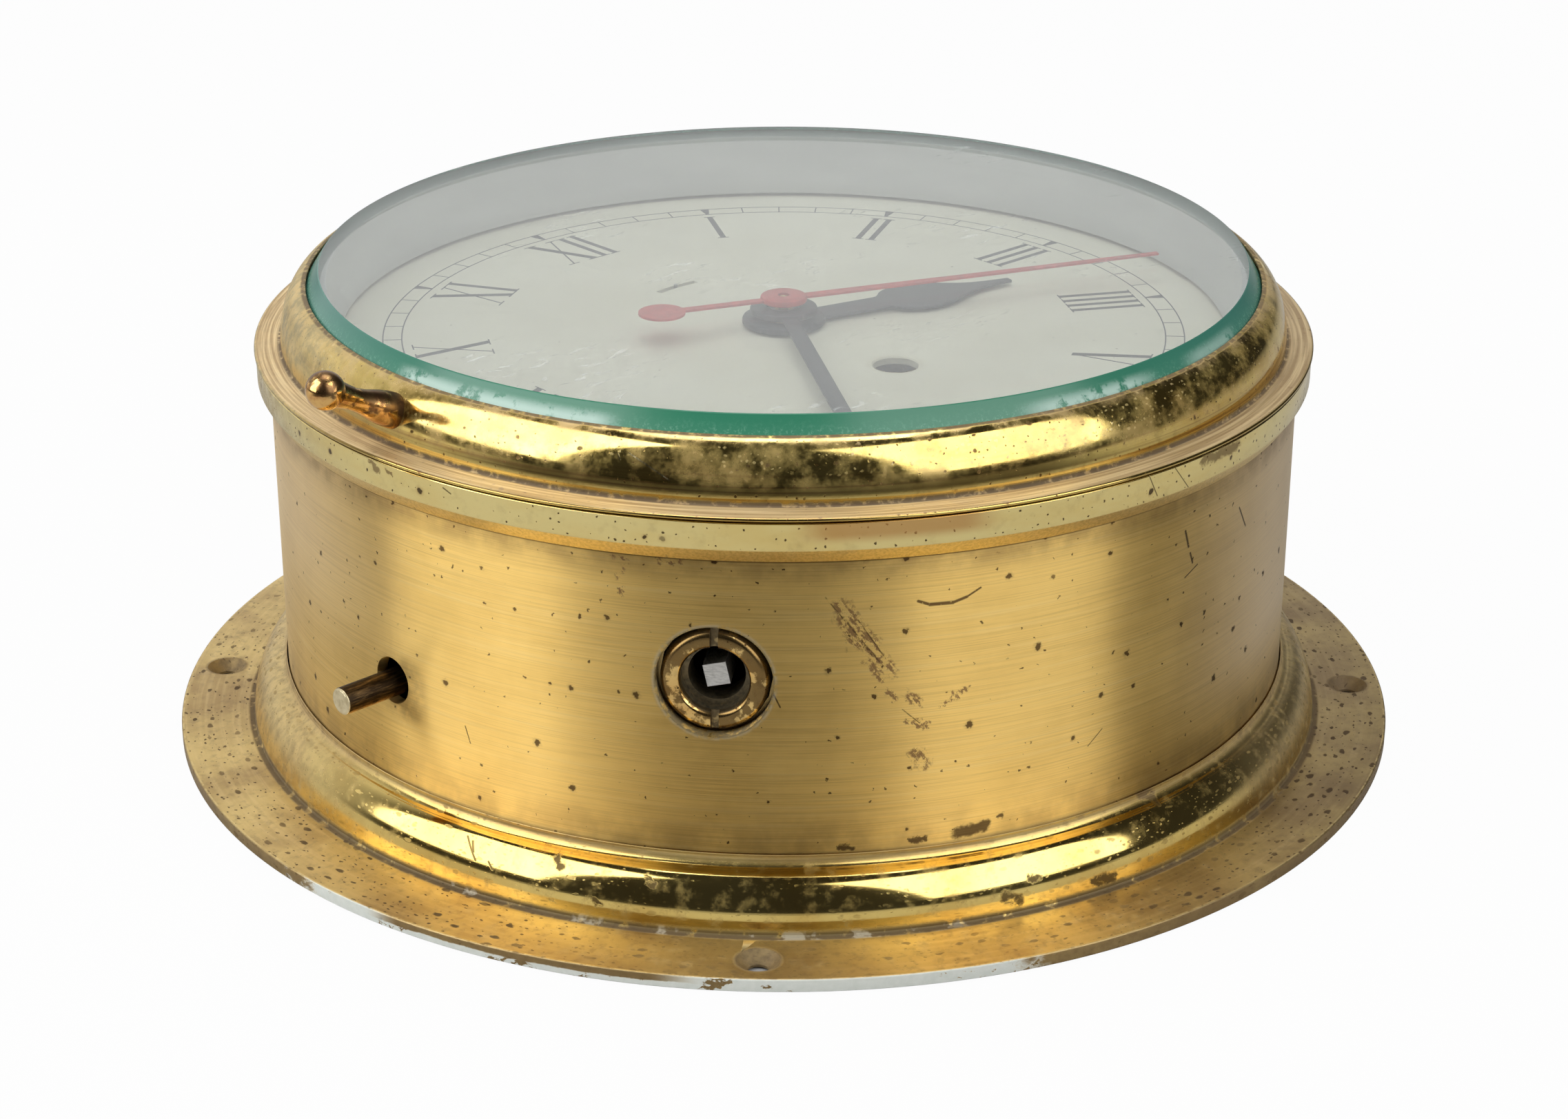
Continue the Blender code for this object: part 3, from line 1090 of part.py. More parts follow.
def stop_lever():
    """Pin through the wall, an upright arbor, and an arm that ends beside the balance rim."""
    place, turn = radial(STOP_PIN_CLOCK, STOP_PIN_HEIGHT)
    tip, inner = DRUM_RADIUS + STOP_PIN_REACH, DRUM_RADIUS - STOP_PIN_INNER
    chamfer = STOP_PIN_CHAMFER
    pin = [(0.0, tip), (STOP_PIN - chamfer, tip), (STOP_PIN, tip - chamfer), (STOP_PIN, inner), (0.0, inner)]
    arbor = [(circle(STOP_ARBOR, 12), BACK_TOP + CLEARANCE, FRONT_BOTTOM - CLEARANCE)]
    made = build("stop_lever", stack(arbor), STEEL, STOP_PIVOT_AT)
    wide, deep = STOP_ROD
    rod = stack([(rectangle(-wide, wide, -deep, deep), STOP_PIVOT_RADIUS - 0.2, inner + 1.0)])
    run, length = direction(STOP_PIVOT_AT, STOP_ARM["end"]), math.dist(STOP_PIVOT_AT, STOP_ARM["end"])
    broad, narrow, low = STOP_ARM["wide"], STOP_ARM["narrow"], BACK_TOP + STOP_ARM["level"]
    outline = [(0.0, -broad), (length, -narrow), (length + narrow, narrow), (0.0, broad)]
    arm = stack([(outline, low, low + STOP_ARM["thick"])])
    parts = [
        tool("join_stop_rod", rod, place, turn),
        tool("join_stop_pin", turned(pin, 16), place, turn),
        tool("join_stop_arm", arm, STOP_PIVOT_AT, Matrix.Rotation(run, 3, "Z")),
    ]
    combine(made, parts, "UNION")
    return made


def main():
    for old in list(bpy.data.objects):
        bpy.data.objects.remove(old)
    base_moulding()
    rear_cover()
    case_drum()
    case_rim()
    setting_bush()
    moving = [bezel_ring(), glass(), sight_ring(), bezel_tab()]
    moving.append(hinge()[1])
    carry(axis("bezel_hinge", (*clock(HINGE_CLOCK, HINGE_RADIUS), HINGE_HEIGHT)), moving)
    dial()
    hour_hand()
    minute_hand()
    seconds_hand()
    plates()
    barrel()
    winding_arbor()
    click()
    going_train()
    escapement()
    bridges()
    regulator()
    motion_work()
    hand_setting()
    stop_lever()


main()
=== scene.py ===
import math

import bmesh
import bpy
from mathutils import Matrix, Vector


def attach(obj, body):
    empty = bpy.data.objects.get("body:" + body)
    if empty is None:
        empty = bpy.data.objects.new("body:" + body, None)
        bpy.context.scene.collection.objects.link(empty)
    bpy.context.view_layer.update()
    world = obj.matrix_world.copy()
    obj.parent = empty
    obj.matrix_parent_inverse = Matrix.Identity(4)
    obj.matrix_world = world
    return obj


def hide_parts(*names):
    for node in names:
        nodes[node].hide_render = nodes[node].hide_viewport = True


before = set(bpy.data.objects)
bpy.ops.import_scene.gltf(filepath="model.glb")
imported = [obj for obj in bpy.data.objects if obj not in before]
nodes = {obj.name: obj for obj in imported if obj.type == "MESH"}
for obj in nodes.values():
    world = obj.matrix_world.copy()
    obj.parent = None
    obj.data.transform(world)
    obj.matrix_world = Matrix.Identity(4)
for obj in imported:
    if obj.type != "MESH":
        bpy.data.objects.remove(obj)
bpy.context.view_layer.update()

mm = 0.001
frontClock = 222.8        # clock angle that faces the camera, clockwise from XII
roundSteps = 240          # parts of a full turn on the big rings


# small helpers for modelling

def onClock(angle, radius):
    turn = math.radians(angle)
    return radius * math.sin(turn), radius * math.cos(turn)


def bow(radius, height, size, start, stop, count):
    # points of an arc in the profile, from start to stop degrees
    turns = [math.radians(start + (stop - start) * i / count) for i in range(count + 1)]
    return [(radius + size * math.cos(t), height + size * math.sin(t)) for t in turns]


def oval(radius, height, wide, tall, start, stop, count):
    # the same, of an oval
    turns = [math.radians(start + (stop - start) * i / count) for i in range(count + 1)]
    return [(radius + wide * math.cos(t), height + tall * math.sin(t)) for t in turns]


def corners(left, low, right, high):
    return [(left, low), (right, low), (right, high), (left, high)]


def nothingSelected():
    if bpy.context.object and bpy.context.object.mode != "OBJECT":
        bpy.ops.object.mode_set(mode="OBJECT")
    bpy.ops.object.select_all(action="DESELECT")


def pick(piece):
    nothingSelected()
    piece.select_set(True)
    bpy.context.view_layer.objects.active = piece


def startPoint(name, place):
    # a small plane at its place, closed up to one corner that is then drawn out
    nothingSelected()
    bpy.ops.mesh.primitive_plane_add(size=mm, location=[v * mm for v in place])
    piece = bpy.context.object
    piece.name = piece.data.name = name
    bpy.ops.object.mode_set(mode="EDIT")
    bpy.ops.mesh.select_mode(type="VERT")
    bpy.ops.mesh.select_all(action="SELECT")
    bpy.ops.mesh.merge(type="CENTER")
    return piece


def drawOut(points):
    for a, b in zip(points, points[1:]):
        step = [(b[i] - a[i]) * mm for i in range(3)]
        bpy.ops.mesh.extrude_region_move(TRANSFORM_OT_translate={"value": step})


def settle(piece, place=None):
    # the piece's place goes into its mesh, and its object to the origin
    pick(piece)
    if place is not None:
        piece.matrix_world = place @ piece.matrix_world
    bpy.ops.object.transform_apply(location=True, rotation=True, scale=True)
    return piece


def smooth(piece, angle=28.0):
    pick(piece)
    bpy.ops.object.shade_smooth_by_angle(angle=math.radians(angle))
    return piece


def turned(name, profile, steps=roundSteps, place=None, ring=True):
    # a profile of radius and height, drawn out from one corner and spun round Z
    points = [(radius, 0.0, height) for radius, height in profile]
    if ring:
        points.append(points[0])
    piece = startPoint(name, points[0])
    drawOut(points)
    bpy.ops.mesh.select_all(action="SELECT")
    bpy.ops.mesh.spin(steps=steps, angle=2 * math.pi, center=(0, 0, 0), axis=(0, 0, 1))
    bpy.ops.mesh.select_all(action="SELECT")
    bpy.ops.mesh.remove_doubles(threshold=0.000002)
    bpy.ops.mesh.select_all(action="SELECT")
    bpy.ops.mesh.normals_make_consistent(inside=False)
    bpy.ops.object.mode_set(mode="OBJECT")
    return settle(piece, place)


def plate(name, outline, low, high, edge=0.0):
    # an outline drawn out corner by corner, filled, and pulled up to its thickness
    points = [(x, y, low) for x, y in outline]
    piece = startPoint(name, points[0])
    drawOut(points + points[:1])
    bpy.ops.mesh.select_all(action="SELECT")
    bpy.ops.mesh.remove_doubles(threshold=0.000002)
    bpy.ops.mesh.select_all(action="SELECT")
    bpy.ops.mesh.edge_face_add()
    bpy.ops.mesh.extrude_region_move(TRANSFORM_OT_translate={"value": (0, 0, (high - low) * mm)})
    bpy.ops.mesh.select_all(action="SELECT")
    bpy.ops.mesh.normals_make_consistent(inside=False)
    if edge:
        softenTop(piece, high, edge)
    bpy.ops.object.mode_set(mode="OBJECT")
    return settle(piece)


def softenTop(piece, high, edge):
    # bevels the edges round the upper face
    mesh = bmesh.from_edit_mesh(piece.data)
    level = high * mm - piece.location.z
    for item in mesh.edges:
        item.select = all(abs(v.co.z - level) < 0.00001 for v in item.verts)
    bmesh.update_edit_mesh(piece.data)
    bpy.ops.mesh.bevel(offset=edge * mm, segments=2, affect="EDGES")


def cut(piece, cutter, operation="DIFFERENCE"):
    change = piece.modifiers.new("cut", "BOOLEAN")
    change.operation, change.solver, change.object = operation, "EXACT", cutter
    pick(piece)
    bpy.ops.object.modifier_apply(modifier="cut")
    bpy.data.objects.remove(cutter)
    return piece


def copyOf(piece, name, place):
    made = piece.copy()
    made.data = piece.data.copy()
    made.name = made.data.name = name
    bpy.context.scene.collection.objects.link(made)
    return settle(made, place)


def joined(name, parts):
    nothingSelected()
    for part in parts:
        part.select_set(True)
    bpy.context.view_layer.objects.active = parts[0]
    bpy.ops.object.join()
    parts[0].name = parts[0].data.name = name
    return parts[0]


def shift(x, y, z=0.0):
    return Matrix.Translation((x * mm, y * mm, z * mm))


def outward(angle, height, roll=0.0):
    # turns a piece built along +Z so that it points outward at a clock angle
    out = Vector((*onClock(angle, 1.0), 0.0))
    side = Vector((0, 0, 1)).cross(out)
    turn = Matrix((side, out.cross(side), out)).transposed().to_4x4()
    return shift(0, 0, height) @ turn @ Matrix.Rotation(math.radians(roll), 4, "Z")


def finished(piece, body, finish, *replaced):
    piece.data.materials.clear()
    piece.data.materials.append(finish)
    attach(piece, body)
    if replaced:
        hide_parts(*replaced)
    return piece


# small helpers for materials

class Wire:
    # one socket of a material, on which sums can be written
    def __init__(self, finish, socket):
        self.finish, self.socket = finish, socket

    def maths(self, operation, *values):
        return self.finish.add("ShaderNodeMath", {"operation": operation}, dict(enumerate(values)))

    def __add__(self, other):
        return self.maths("ADD", self, other)

    def __sub__(self, other):
        return self.maths("SUBTRACT", self, other)

    def __rsub__(self, other):
        return self.maths("SUBTRACT", other, self)

    def __mul__(self, other):
        return self.maths("MULTIPLY", self, other)

    def __truediv__(self, other):
        return self.maths("DIVIDE", self, other)

    def __pow__(self, other):
        return self.maths("POWER", self, other)

    __radd__, __rmul__ = __add__, __mul__

    def least(self, other):
        return self.maths("MINIMUM", self, other)

    def most(self, other):
        return self.maths("MAXIMUM", self, other)

    def size(self):
        return self.maths("ABSOLUTE", self)

    def rise(self, low, high):
        # 0 below low and 1 above high, or the other way round where low is the larger
        settings = {"interpolation_type": "SMOOTHSTEP"}
        return self.finish.add("ShaderNodeMapRange", settings, {0: self, 1: low, 2: high})

    def band(self, middle, half, soft):
        return (self - middle).size().rise(half + soft, half)

    def also(self, name):
        return Wire(self.finish, self.socket.node.outputs[name])


class Finish:
    def __init__(self, name, **constants):
        self.material = bpy.data.materials.new(name)
        self.material.use_nodes = True
        self.tree = self.material.node_tree
        self.shader = self.tree.nodes["Principled BSDF"]
        for key, value in constants.items():
            self.shader.inputs[key].default_value = value
        self.at = self.scaled(self.add("ShaderNodeTexCoord", output="Object"), 1000.0)     # millimetres

    def add(self, kind, settings=None, values=None, output=0):
        made = self.tree.nodes.new(kind)
        for key, value in (settings or {}).items():
            setattr(made, key, value)
        for key, value in (values or {}).items():
            if isinstance(value, Wire):
                self.tree.links.new(value.socket, made.inputs[key])
            else:
                made.inputs[key].default_value = value
        return Wire(self, made.outputs[output])

    def scaled(self, vector, factor):
        factor = factor if isinstance(factor, tuple) else (factor,) * 3
        return self.add("ShaderNodeVectorMath", {"operation": "MULTIPLY"}, {0: vector, 1: factor})

    def moved(self, vector, offset):
        return self.add("ShaderNodeVectorMath", {"operation": "ADD"}, {0: vector, 1: offset})

    def parts(self, vector):
        x = self.add("ShaderNodeSeparateXYZ", values={0: vector})
        return x, x.also("Y"), x.also("Z")

    def vector(self, x, y, z=0.0):
        return self.add("ShaderNodeCombineXYZ", values={0: x, 1: y, 2: z})

    def noise(self, vector, scale, detail=3.0, roughness=0.55):
        values = {"Vector": vector, "Scale": scale, "Detail": detail, "Roughness": roughness}
        return self.add("ShaderNodeTexNoise", values=values)

    def clouds(self, *values):
        return self.noise(self.at, *values)

    def warped(self, vector, scale, amount):
        # the same place pushed about a little, so that edges come out ragged
        push = self.noise(vector, scale, 2.0).also("Color")
        push = self.scaled(self.moved(push, (-0.5, -0.5, -0.5)), amount)
        return self.add("ShaderNodeVectorMath", {"operation": "ADD"}, {0: vector, 1: push})

    def spots(self, place, scale, size, share, halo=1.0, space="2D"):
        # round marks of mixed size in a share of the cells
        settings = {"voronoi_dimensions": space}
        cell = self.add("ShaderNodeTexVoronoi", settings, {"Vector": place, "Scale": scale})
        colour = self.add("ShaderNodeSeparateColor", values={0: cell.also("Color")})
        reach = colour * (size * halo)
        return cell.rise(reach, reach * (0.6 / halo)) * colour.also("Green").rise(1.0 - share, 1.02 - share)

    def mix(self, factor, first, second):
        first, second = (c if isinstance(c, Wire) else (*c, 1.0) for c in (first, second))
        return self.add("ShaderNodeMix", {"data_type": "RGBA"}, {0: factor, 6: first, 7: second}, 2)

    def put(self, **links):
        for key, wire in links.items():
            self.tree.links.new(wire.socket, self.shader.inputs[key.replace("_", " ")])
        return self.material

    def bump(self, height, distance, strength=1.0):
        # height in millimetres
        values = {"Height": height, "Distance": distance * mm, "Strength": strength}
        return self.add("ShaderNodeBump", values=values)

    def ring(self):
        # distance from the clock's axis, height, and degrees round from the front
        x, y, z = self.parts(self.at)
        turn = math.radians(frontClock)
        cosine, sine = math.cos(turn), math.sin(turn)
        radius = (x * x + y * y) ** 0.5
        across = x * cosine - y * sine
        around = across.maths("ARCTAN2", across, x * sine + y * cosine) * (180.0 / math.pi)
        return radius, z, around

    def skin(self):
        # millimetres round the clock and up its face, for marks that lie flat on a turned surface
        radius, height, around = self.ring()
        return around * (math.pi / 180.0 * 100.0), height - radius

    def pushed(self, along, up, amount):
        # a place on the surface pushed about, so that a stroke drawn there comes out torn
        push = self.noise(self.vector(along, up), 0.55, 5.0, 0.7).also("Color")
        x, y, z = self.parts(self.scaled(self.moved(push, (-0.5, -0.5, -0.5)), amount * 2.0))
        return along + x, up + y

    def stroke(self, along, up, startX, startY, stopX, stopY, width):
        # a scratch from start to stop, both in millimetres along and up
        runX, runY = stopX - startX, stopY - startY
        square = runX * runX + runY * runY
        fromX, fromY = along - startX, up - startY
        share = ((fromX * runX + fromY * runY) / square).most(0.0).least(1.0)
        offX, offY = fromX - share * runX, fromY - share * runY
        away = (offX * offX + offY * offY) ** 0.5
        return away.rise(width, width * 0.4)


def marks(finish, along, up, rows):
    # several strokes as one mask
    total = None
    for row in rows:
        one = finish.stroke(along, up, *row)
        total = one if total is None else total.most(one)
    return total


# brass finishes

polished = {
    "gold": (0.95, 0.72, 0.22), "deep": (0.74, 0.48, 0.12), "stain": (0.070, 0.038, 0.012), "veil": 0.30,
    "gloss": 0.08,
}
rimPolish = {
    "gold": (0.97, 0.80, 0.35), "deep": (0.92, 0.71, 0.27), "stain": (0.060, 0.036, 0.018), "veil": 0.16,
    "gloss": 0.15,
}
bushPolish = {
    "gold": (0.95, 0.67, 0.26), "deep": (0.83, 0.50, 0.16), "stain": (0.060, 0.034, 0.016), "veil": 0.40,
    "gloss": 0.12,
}


def polishedCoat(f, look, place):
    # cloudy tarnish, a thin veil and dark pits on bright brass: its colour, dullness and relief
    cloud = f.noise(f.scaled(f.at, (0.05, 0.05, 0.16)), 1.0, 5.0, 0.6)
    veil = f.clouds(0.35, 4.0, 0.62).rise(0.50, 0.78)
    pits = f.spots(place, 0.24, 0.17, 0.30).most(f.spots(place, 0.60, 0.17, 0.42))
    colour = f.mix(cloud.rise(0.35, 0.75), look["gold"], look["deep"])
    colour = f.mix(veil * look["veil"], colour, look["stain"])
    colour = f.mix(f.spots(place, 0.24, 0.17, 0.30, 1.9) * 0.30, colour, (0.34, 0.17, 0.06))
    colour = f.mix(pits * 0.9, colour, look["stain"])
    return colour, veil * 0.09 + pits * 0.22 + look["gloss"], f.clouds(0.8, 3.0) * 0.4 - pits * 0.6


def bezelBrass():
    # bright full round, matt and mottled to the left, pale dirt on the step under it
    f = Finish("polished bezel brass")
    radius, height, around = f.ring()
    along, up = f.skin()
    place = f.warped(f.vector(along, up), 0.9, 0.9)
    colour, dull, relief = polishedCoat(f, polished, place)
    streak = f.noise(
        f.scaled(f.vector(radius, around * 0.02, height), (2.2, 1.0, 2.2)), 1.0, 3.0,
    ).rise(0.45, 0.8)
    colour = f.mix(streak * up.rise(-8.5, -12.5) * 0.60, colour, (0.42, 0.18, 0.065))
    low = up.rise(-12.6, -15.4) * (streak * 0.5 + 0.5)
    colour = f.mix(low * 0.65, colour, (0.13, 0.075, 0.033))
    chalk = f.spots(place, 0.75, 0.34, 0.60) * f.clouds(0.07, 4.0).rise(0.44, 0.60)
    chalk = chalk * up.rise(-13.5, -9.5)
    colour = f.mix(chalk * 0.55, colour, (0.72, 0.60, 0.32))
    fleck = f.noise(place, 0.55, 5.0, 0.7).rise(0.60, 0.68)
    colour = f.mix(fleck * 0.45, colour, (0.24, 0.13, 0.045))
    brown = f.clouds(0.13, 5.0, 0.66).rise(0.42, 0.66) * up.rise(-15.5, -12.0)
    colour = f.mix(brown * 0.55, colour, (0.55, 0.39, 0.17))
    shoulder = up.rise(-5.6, -2.8) * f.clouds(0.28, 5.0, 0.65).rise(0.36, 0.60)
    colour = f.mix(shoulder * 0.75, colour, (0.72, 0.52, 0.25))
    mottle = f.clouds(0.40, 6.0, 0.68)
    left = around.rise(42.0, 72.0) * (mottle * 0.6 + 0.62)
    colour = f.mix(
        left * 0.85, colour, f.mix(mottle.rise(0.40, 0.62), (0.66, 0.50, 0.235), (0.38, 0.32, 0.18)),
    )
    lines = f.noise(f.vector(radius * 1.8, around * 0.05), 1.0, 4.0, 0.6)
    step = up.rise(-16.4, -17.0) * up.rise(-22.2, -21.6)
    colour = f.mix(
        step * 0.85, colour, f.mix(lines.rise(0.34, 0.64), (0.78, 0.61, 0.35), (0.40, 0.27, 0.14)),
    )
    crack = up.band(-17.0, 0.35, 0.6).most(up.rise(-3.0, -2.4)) * f.clouds(0.7, 4.0).rise(0.28, 0.52)
    colour = f.mix(crack * 0.85, colour, (0.10, 0.065, 0.035))
    hair = marks(
        f, along, up,
        [(27.5, -8.2, 24.0, -10.4, 0.16), (24.0, -10.4, 20.0, -13.0, 0.16), (29.5, -8.6, 29.0, -9.8, 0.14)],
    )
    colour = f.mix(hair * 0.8, colour, (0.62, 0.55, 0.34))
    dull = dull + brown * 0.12 + fleck * 0.10 + chalk * 0.10 + left * 0.28 + shoulder * 0.2
    metal = 1.0 - step * 0.55 - left * 0.25 - crack * 0.7 - brown * 0.40 - chalk * 0.3
    return f.put(
        Base_Color=colour, Metallic=metal.most(0.0), Roughness=(dull + step * 0.34 + crack * 0.5).least(0.75),
        Normal=f.bump(relief + chalk * 0.3 + step * lines * 0.5 - hair * 0.5, 0.02, 0.5),
    )


def rimBrass():
    # the band round the top of the case: pale mirror with black pits, its lower chamfer duller and a deeper
    # gold, a painted reflection of the flange
    f = Finish("polished rim brass", Metallic=1.0)
    radius, height, around = f.ring()
    along, up = f.skin()
    place = f.warped(f.vector(along, up), 1.0, 0.7)
    colour, dull, relief = polishedCoat(f, rimPolish, place)
    tan = around.band(-11.0, 6.0, 5.0) * height.rise(71.4, 73.6)
    colour = f.mix(tan * 0.75, colour, (0.60, 0.31, 0.10))
    # the chamfer: rougher, and a deeper browner gold that is a painted reflection of the flange below it
    chamfer = height.rise(70.9, 70.5)
    grain = f.clouds(2.0, 3.0, 0.6)
    colour = f.mix(
        chamfer * 0.8, colour, f.mix(grain.rise(0.35, 0.7), (0.86, 0.64, 0.26), (0.62, 0.45, 0.17)),
    )
    stain = marks(
        f, *f.pushed(along, height, 1.6),
        [(-80.5, 74.6, -91.0, 74.3, 1.3), (79.0, 74.9, 76.6, 73.7, 0.7), (74.6, 74.5, 73.2, 74.0, 0.5)],
    )
    hair = marks(
        f, along, height,
        [(-66.7, 75.3, -68.8, 71.3, 0.16), (-73.0, 75.2, -76.7, 70.8, 0.14), (61.0, 74.6, 59.4, 73.9, 0.2)],
    )
    colour = f.mix(stain * 0.75, colour, (0.19, 0.115, 0.05))
    colour = f.mix(hair * 0.8, colour, (0.10, 0.065, 0.03))
    left = around.rise(45.0, 75.0) * f.clouds(0.4, 5.0, 0.65).rise(0.3, 0.7)
    colour = f.mix(left * 0.85, colour, (0.58, 0.45, 0.22))
    return f.put(
        Base_Color=colour, Roughness=dull + chamfer * 0.20 + left * 0.2 + stain * 0.3,
        Normal=f.bump(relief - hair, 0.02, 0.5),
    )


def bushBrass():
    # the slotted ring: gold with dark brown lacquer left in patches, dirt on its mouth and painted shade down
    # the bore
    f = Finish("worn bush brass", Metallic=1.0)
    radius, height, around = f.ring()
    colour, dull, relief = polishedCoat(f, bushPolish, f.vector(around * 1.7, height))
    old = f.noise(f.warped(f.at, 0.9, 1.2), 0.19, 5.0, 0.6).rise(0.425, 0.485)
    colour = f.mix(old * 0.80, colour, (0.095, 0.048, 0.016))
    # dirt on the rounded mouth and painted shade down the bore: grey, darker deeper in
    deep = radius.rise(94.7, 93.6).most(radius.rise(95.25, 94.9) * 0.6)
    colour = f.mix(
        deep * 0.9, colour,
        f.mix(f.clouds(1.2, 4.0).rise(0.3, 0.7), (0.13, 0.12, 0.09), (0.26, 0.22, 0.14)),
    )
    return f.put(
        Base_Color=colour, Roughness=(dull + old * 0.12 + deep * 0.35).least(0.7),
        Normal=f.bump(relief - old * 0.4, 0.02, 0.5),
    )


satin = {
    "gold": (0.93, 0.64, 0.205), "worn": (0.79, 0.53, 0.160), "stain": (0.085, 0.045, 0.020),
    "rust": (0.20, 0.095, 0.045), "gloss": 0.25,
}


def brushedBrass():
    # the drum's wall: fine lines round it, cloudy wear, specks and the marks of use
    f = Finish("satin brushed brass", Anisotropic=1.0)
    f.shader.inputs["Anisotropic Rotation"].default_value = 0.25
    radius, height, around = f.ring()
    along = around * (math.pi / 180.0 * 96.0)
    fine = f.noise(f.scaled(f.at, (0.035, 0.035, 5.5)), 1.0, 3.0, 0.7)
    coarse = f.noise(f.scaled(f.at, (0.02, 0.02, 1.3)), 1.0, 3.0, 0.6)
    cloud = f.clouds(0.035, 5.0, 0.6)
    ragged = f.warped(f.vector(along, height), 1.3, 1.3)
    pits = f.spots(ragged, 0.16, 0.12, 0.34).most(f.spots(ragged, 0.42, 0.13, 0.22))
    rims = f.spots(ragged, 0.16, 0.12, 0.34, 1.6)
    # torn brown places right of the bush, with slanting scratches through them
    slant = f.noise(
        f.vector(along * 0.80 - height * 0.60, (height * 0.80 + along * 0.60) * 0.16), 1.3, 4.0, 0.65,
    )
    torn = f.noise(f.vector(along, height), 0.75, 6.0, 0.75)
    torn = (torn * 0.55 + slant * 0.45).rise(0.47, 0.53)
    rub = marks(f, *f.pushed(along, height, 2.4), [
        (-9.5, 59.5, -11.8, 53.6, 2.2), (-11.0, 57.5, -17.5, 48.0, 1.9), (-14.0, 50.0, -16.5, 46.5, 1.2),
        (-21.0, 42.5, -22.5, 41.5, 1.1),
        (-20.8, 38.0, -24.0, 37.2, 1.0), (-22.5, 31.8, -23.5, 30.2, 1.9), (-17.5, 43.5, -18.5, 42.5, 0.9),
        (-27.0, 40.5, -30.5, 42.6, 0.6),
        (17.0, 67.2, 20.5, 67.4, 0.8), (26.6, 66.9, 28.0, 67.1, 0.9), (26.2, 65.2, 27.4, 63.6, 0.8),
        (26.6, 61.4, 27.2, 60.6, 0.6),
    ]) * torn
    black = marks(f, *f.pushed(along, height, 1.3), [
        (-30.0, 15.8, -34.8, 16.4, 1.5), (-37.6, 17.7, -38.2, 17.8, 0.6), (-21.5, 15.6, -24.0, 15.8, 0.7),
        (-9.5, 15.3, -11.5, 15.2, 0.8),
    ])
    scrape = marks(f, along, height, [
        (-6.8, 61.5, -15.8, 49.5, 0.16), (-9.8, 57.8, -14.5, 50.8, 0.2), (-12.2, 57.2, -16.8, 50.0, 0.16),
        (-19.8, 40.4, -22.8, 37.6, 0.14),
    ]) * f.clouds(0.9, 3.0).rise(0.36, 0.5)
    hair = marks(f, along, height, [
        (-22.2, 59.8, -24.2, 59.0, 0.36), (-24.2, 59.0, -28.2, 58.9, 0.44),
        (-28.2, 58.9, -30.6, 59.6, 0.36), (-30.6, 59.6, -33.0, 60.9, 0.24),
        (-76.5, 61.2, -77.6, 58.0, 0.34), (-78.2, 56.6, -79.0, 54.6, 0.3), (-77.0, 52.4, -80.5, 53.8, 0.18),
        (-94.0, 60.0, -97.0, 55.5, 0.25),
        (58.0, 30.0, 57.0, 27.0, 0.14), (-55.0, 27.0, -58.0, 29.5, 0.12), (1.6, 44.0, 0.6, 41.8, 0.2),
    ]) * f.clouds(1.6, 2.0).rise(0.24, 0.40)
    # dirt round the bush, the painted shadow of the stop pin by the lever's hole, and the wall darker towards
    # its foot and its top, by the two rings
    fromBush = ((along - 11.56) ** 2.0 + (height - 45.9) ** 2.0) ** 0.5
    halo = fromBush.rise(10.9, 10.1) * f.clouds(0.8, 4.0).rise(0.30, 0.55)
    fromHole = ((along - 73.5) ** 2.0 + (height - 32.6) ** 2.0) ** 0.5
    # painted shadow: a soft brown patch just off the lever's hole towards the front, standing for the stop
    # pin's shadow on the wall
    paintedPinShadow = fromHole.rise(8.5, 4.0) * f.clouds(0.3, 4.0).rise(0.25, 0.65)
    foot = height.rise(24.0, 15.5) * f.clouds(0.12, 4.0).rise(0.30, 0.65)
    top = height.rise(62.0, 67.4) * (f.clouds(0.25, 4.0).rise(0.2, 0.7) * 0.7 + 0.3)
    joint = height.rise(67.55, 67.85)
    # painted reflection: a pale greyish tone on the wall's two sides, about a quarter turn each way from the
    # front, with less metal and more roughness there
    film = around.band(72.0, 8.0, 26.0) * 0.35 * height.rise(26.0, 54.0)
    film = film.most(around.band(-78.0, 10.0, 28.0) * 0.6 * height.rise(14.0, 34.0))
    colour = f.mix(cloud.rise(0.35, 0.7), satin["gold"], satin["worn"])
    colour = f.mix(fine.rise(0.42, 0.70) * 0.38, colour, (0.48, 0.30, 0.09))
    colour = f.mix(coarse.rise(0.5, 0.75) * 0.25, colour, (0.97, 0.76, 0.33))
    # the painted reflection on the two sides
    colour = f.mix(film, colour, (0.88, 0.74, 0.58))
    # the wall darker towards its foot and its top, with the painted shadow of the stop pin
    colour = f.mix((foot * 0.4).most(top * 0.55).most(paintedPinShadow * 0.5), colour, (0.24, 0.145, 0.060))
    colour = f.mix(rims * 0.25, colour, satin["rust"])
    colour = f.mix(rub * 0.80, colour, satin["rust"])
    dark = (pits * 0.85).most(scrape * 0.75).most(hair * 0.9).most(joint * 0.9).most(black * 0.85)
    colour = f.mix(dark, colour, satin["stain"])
    colour = f.mix(
        halo * 0.75, colour, f.mix(fromBush.rise(10.4, 9.9), (0.38, 0.34, 0.25), (0.05, 0.055, 0.05)),
    )
    worn = pits.most(rub).most(halo).most(black)
    rough = fine * 0.14 + cloud * 0.10 + worn * 0.25 + film * 0.12 + satin["gloss"]
    relief = fine * 0.35 + coarse * 0.5 - worn * 0.5 - hair * 1.0
    return f.put(
        Base_Color=colour, Roughness=rough, Metallic=(1.0 - halo * 0.7 - rub * 0.3 - film * 0.60).most(0.0),
        Normal=f.bump(relief, 0.03, 0.55),
    )


flangeLook = {
    "gold": (0.74, 0.55, 0.22), "brown": (0.46, 0.31, 0.125), "stain": (0.075, 0.048, 0.030), "gloss": 0.30,
}


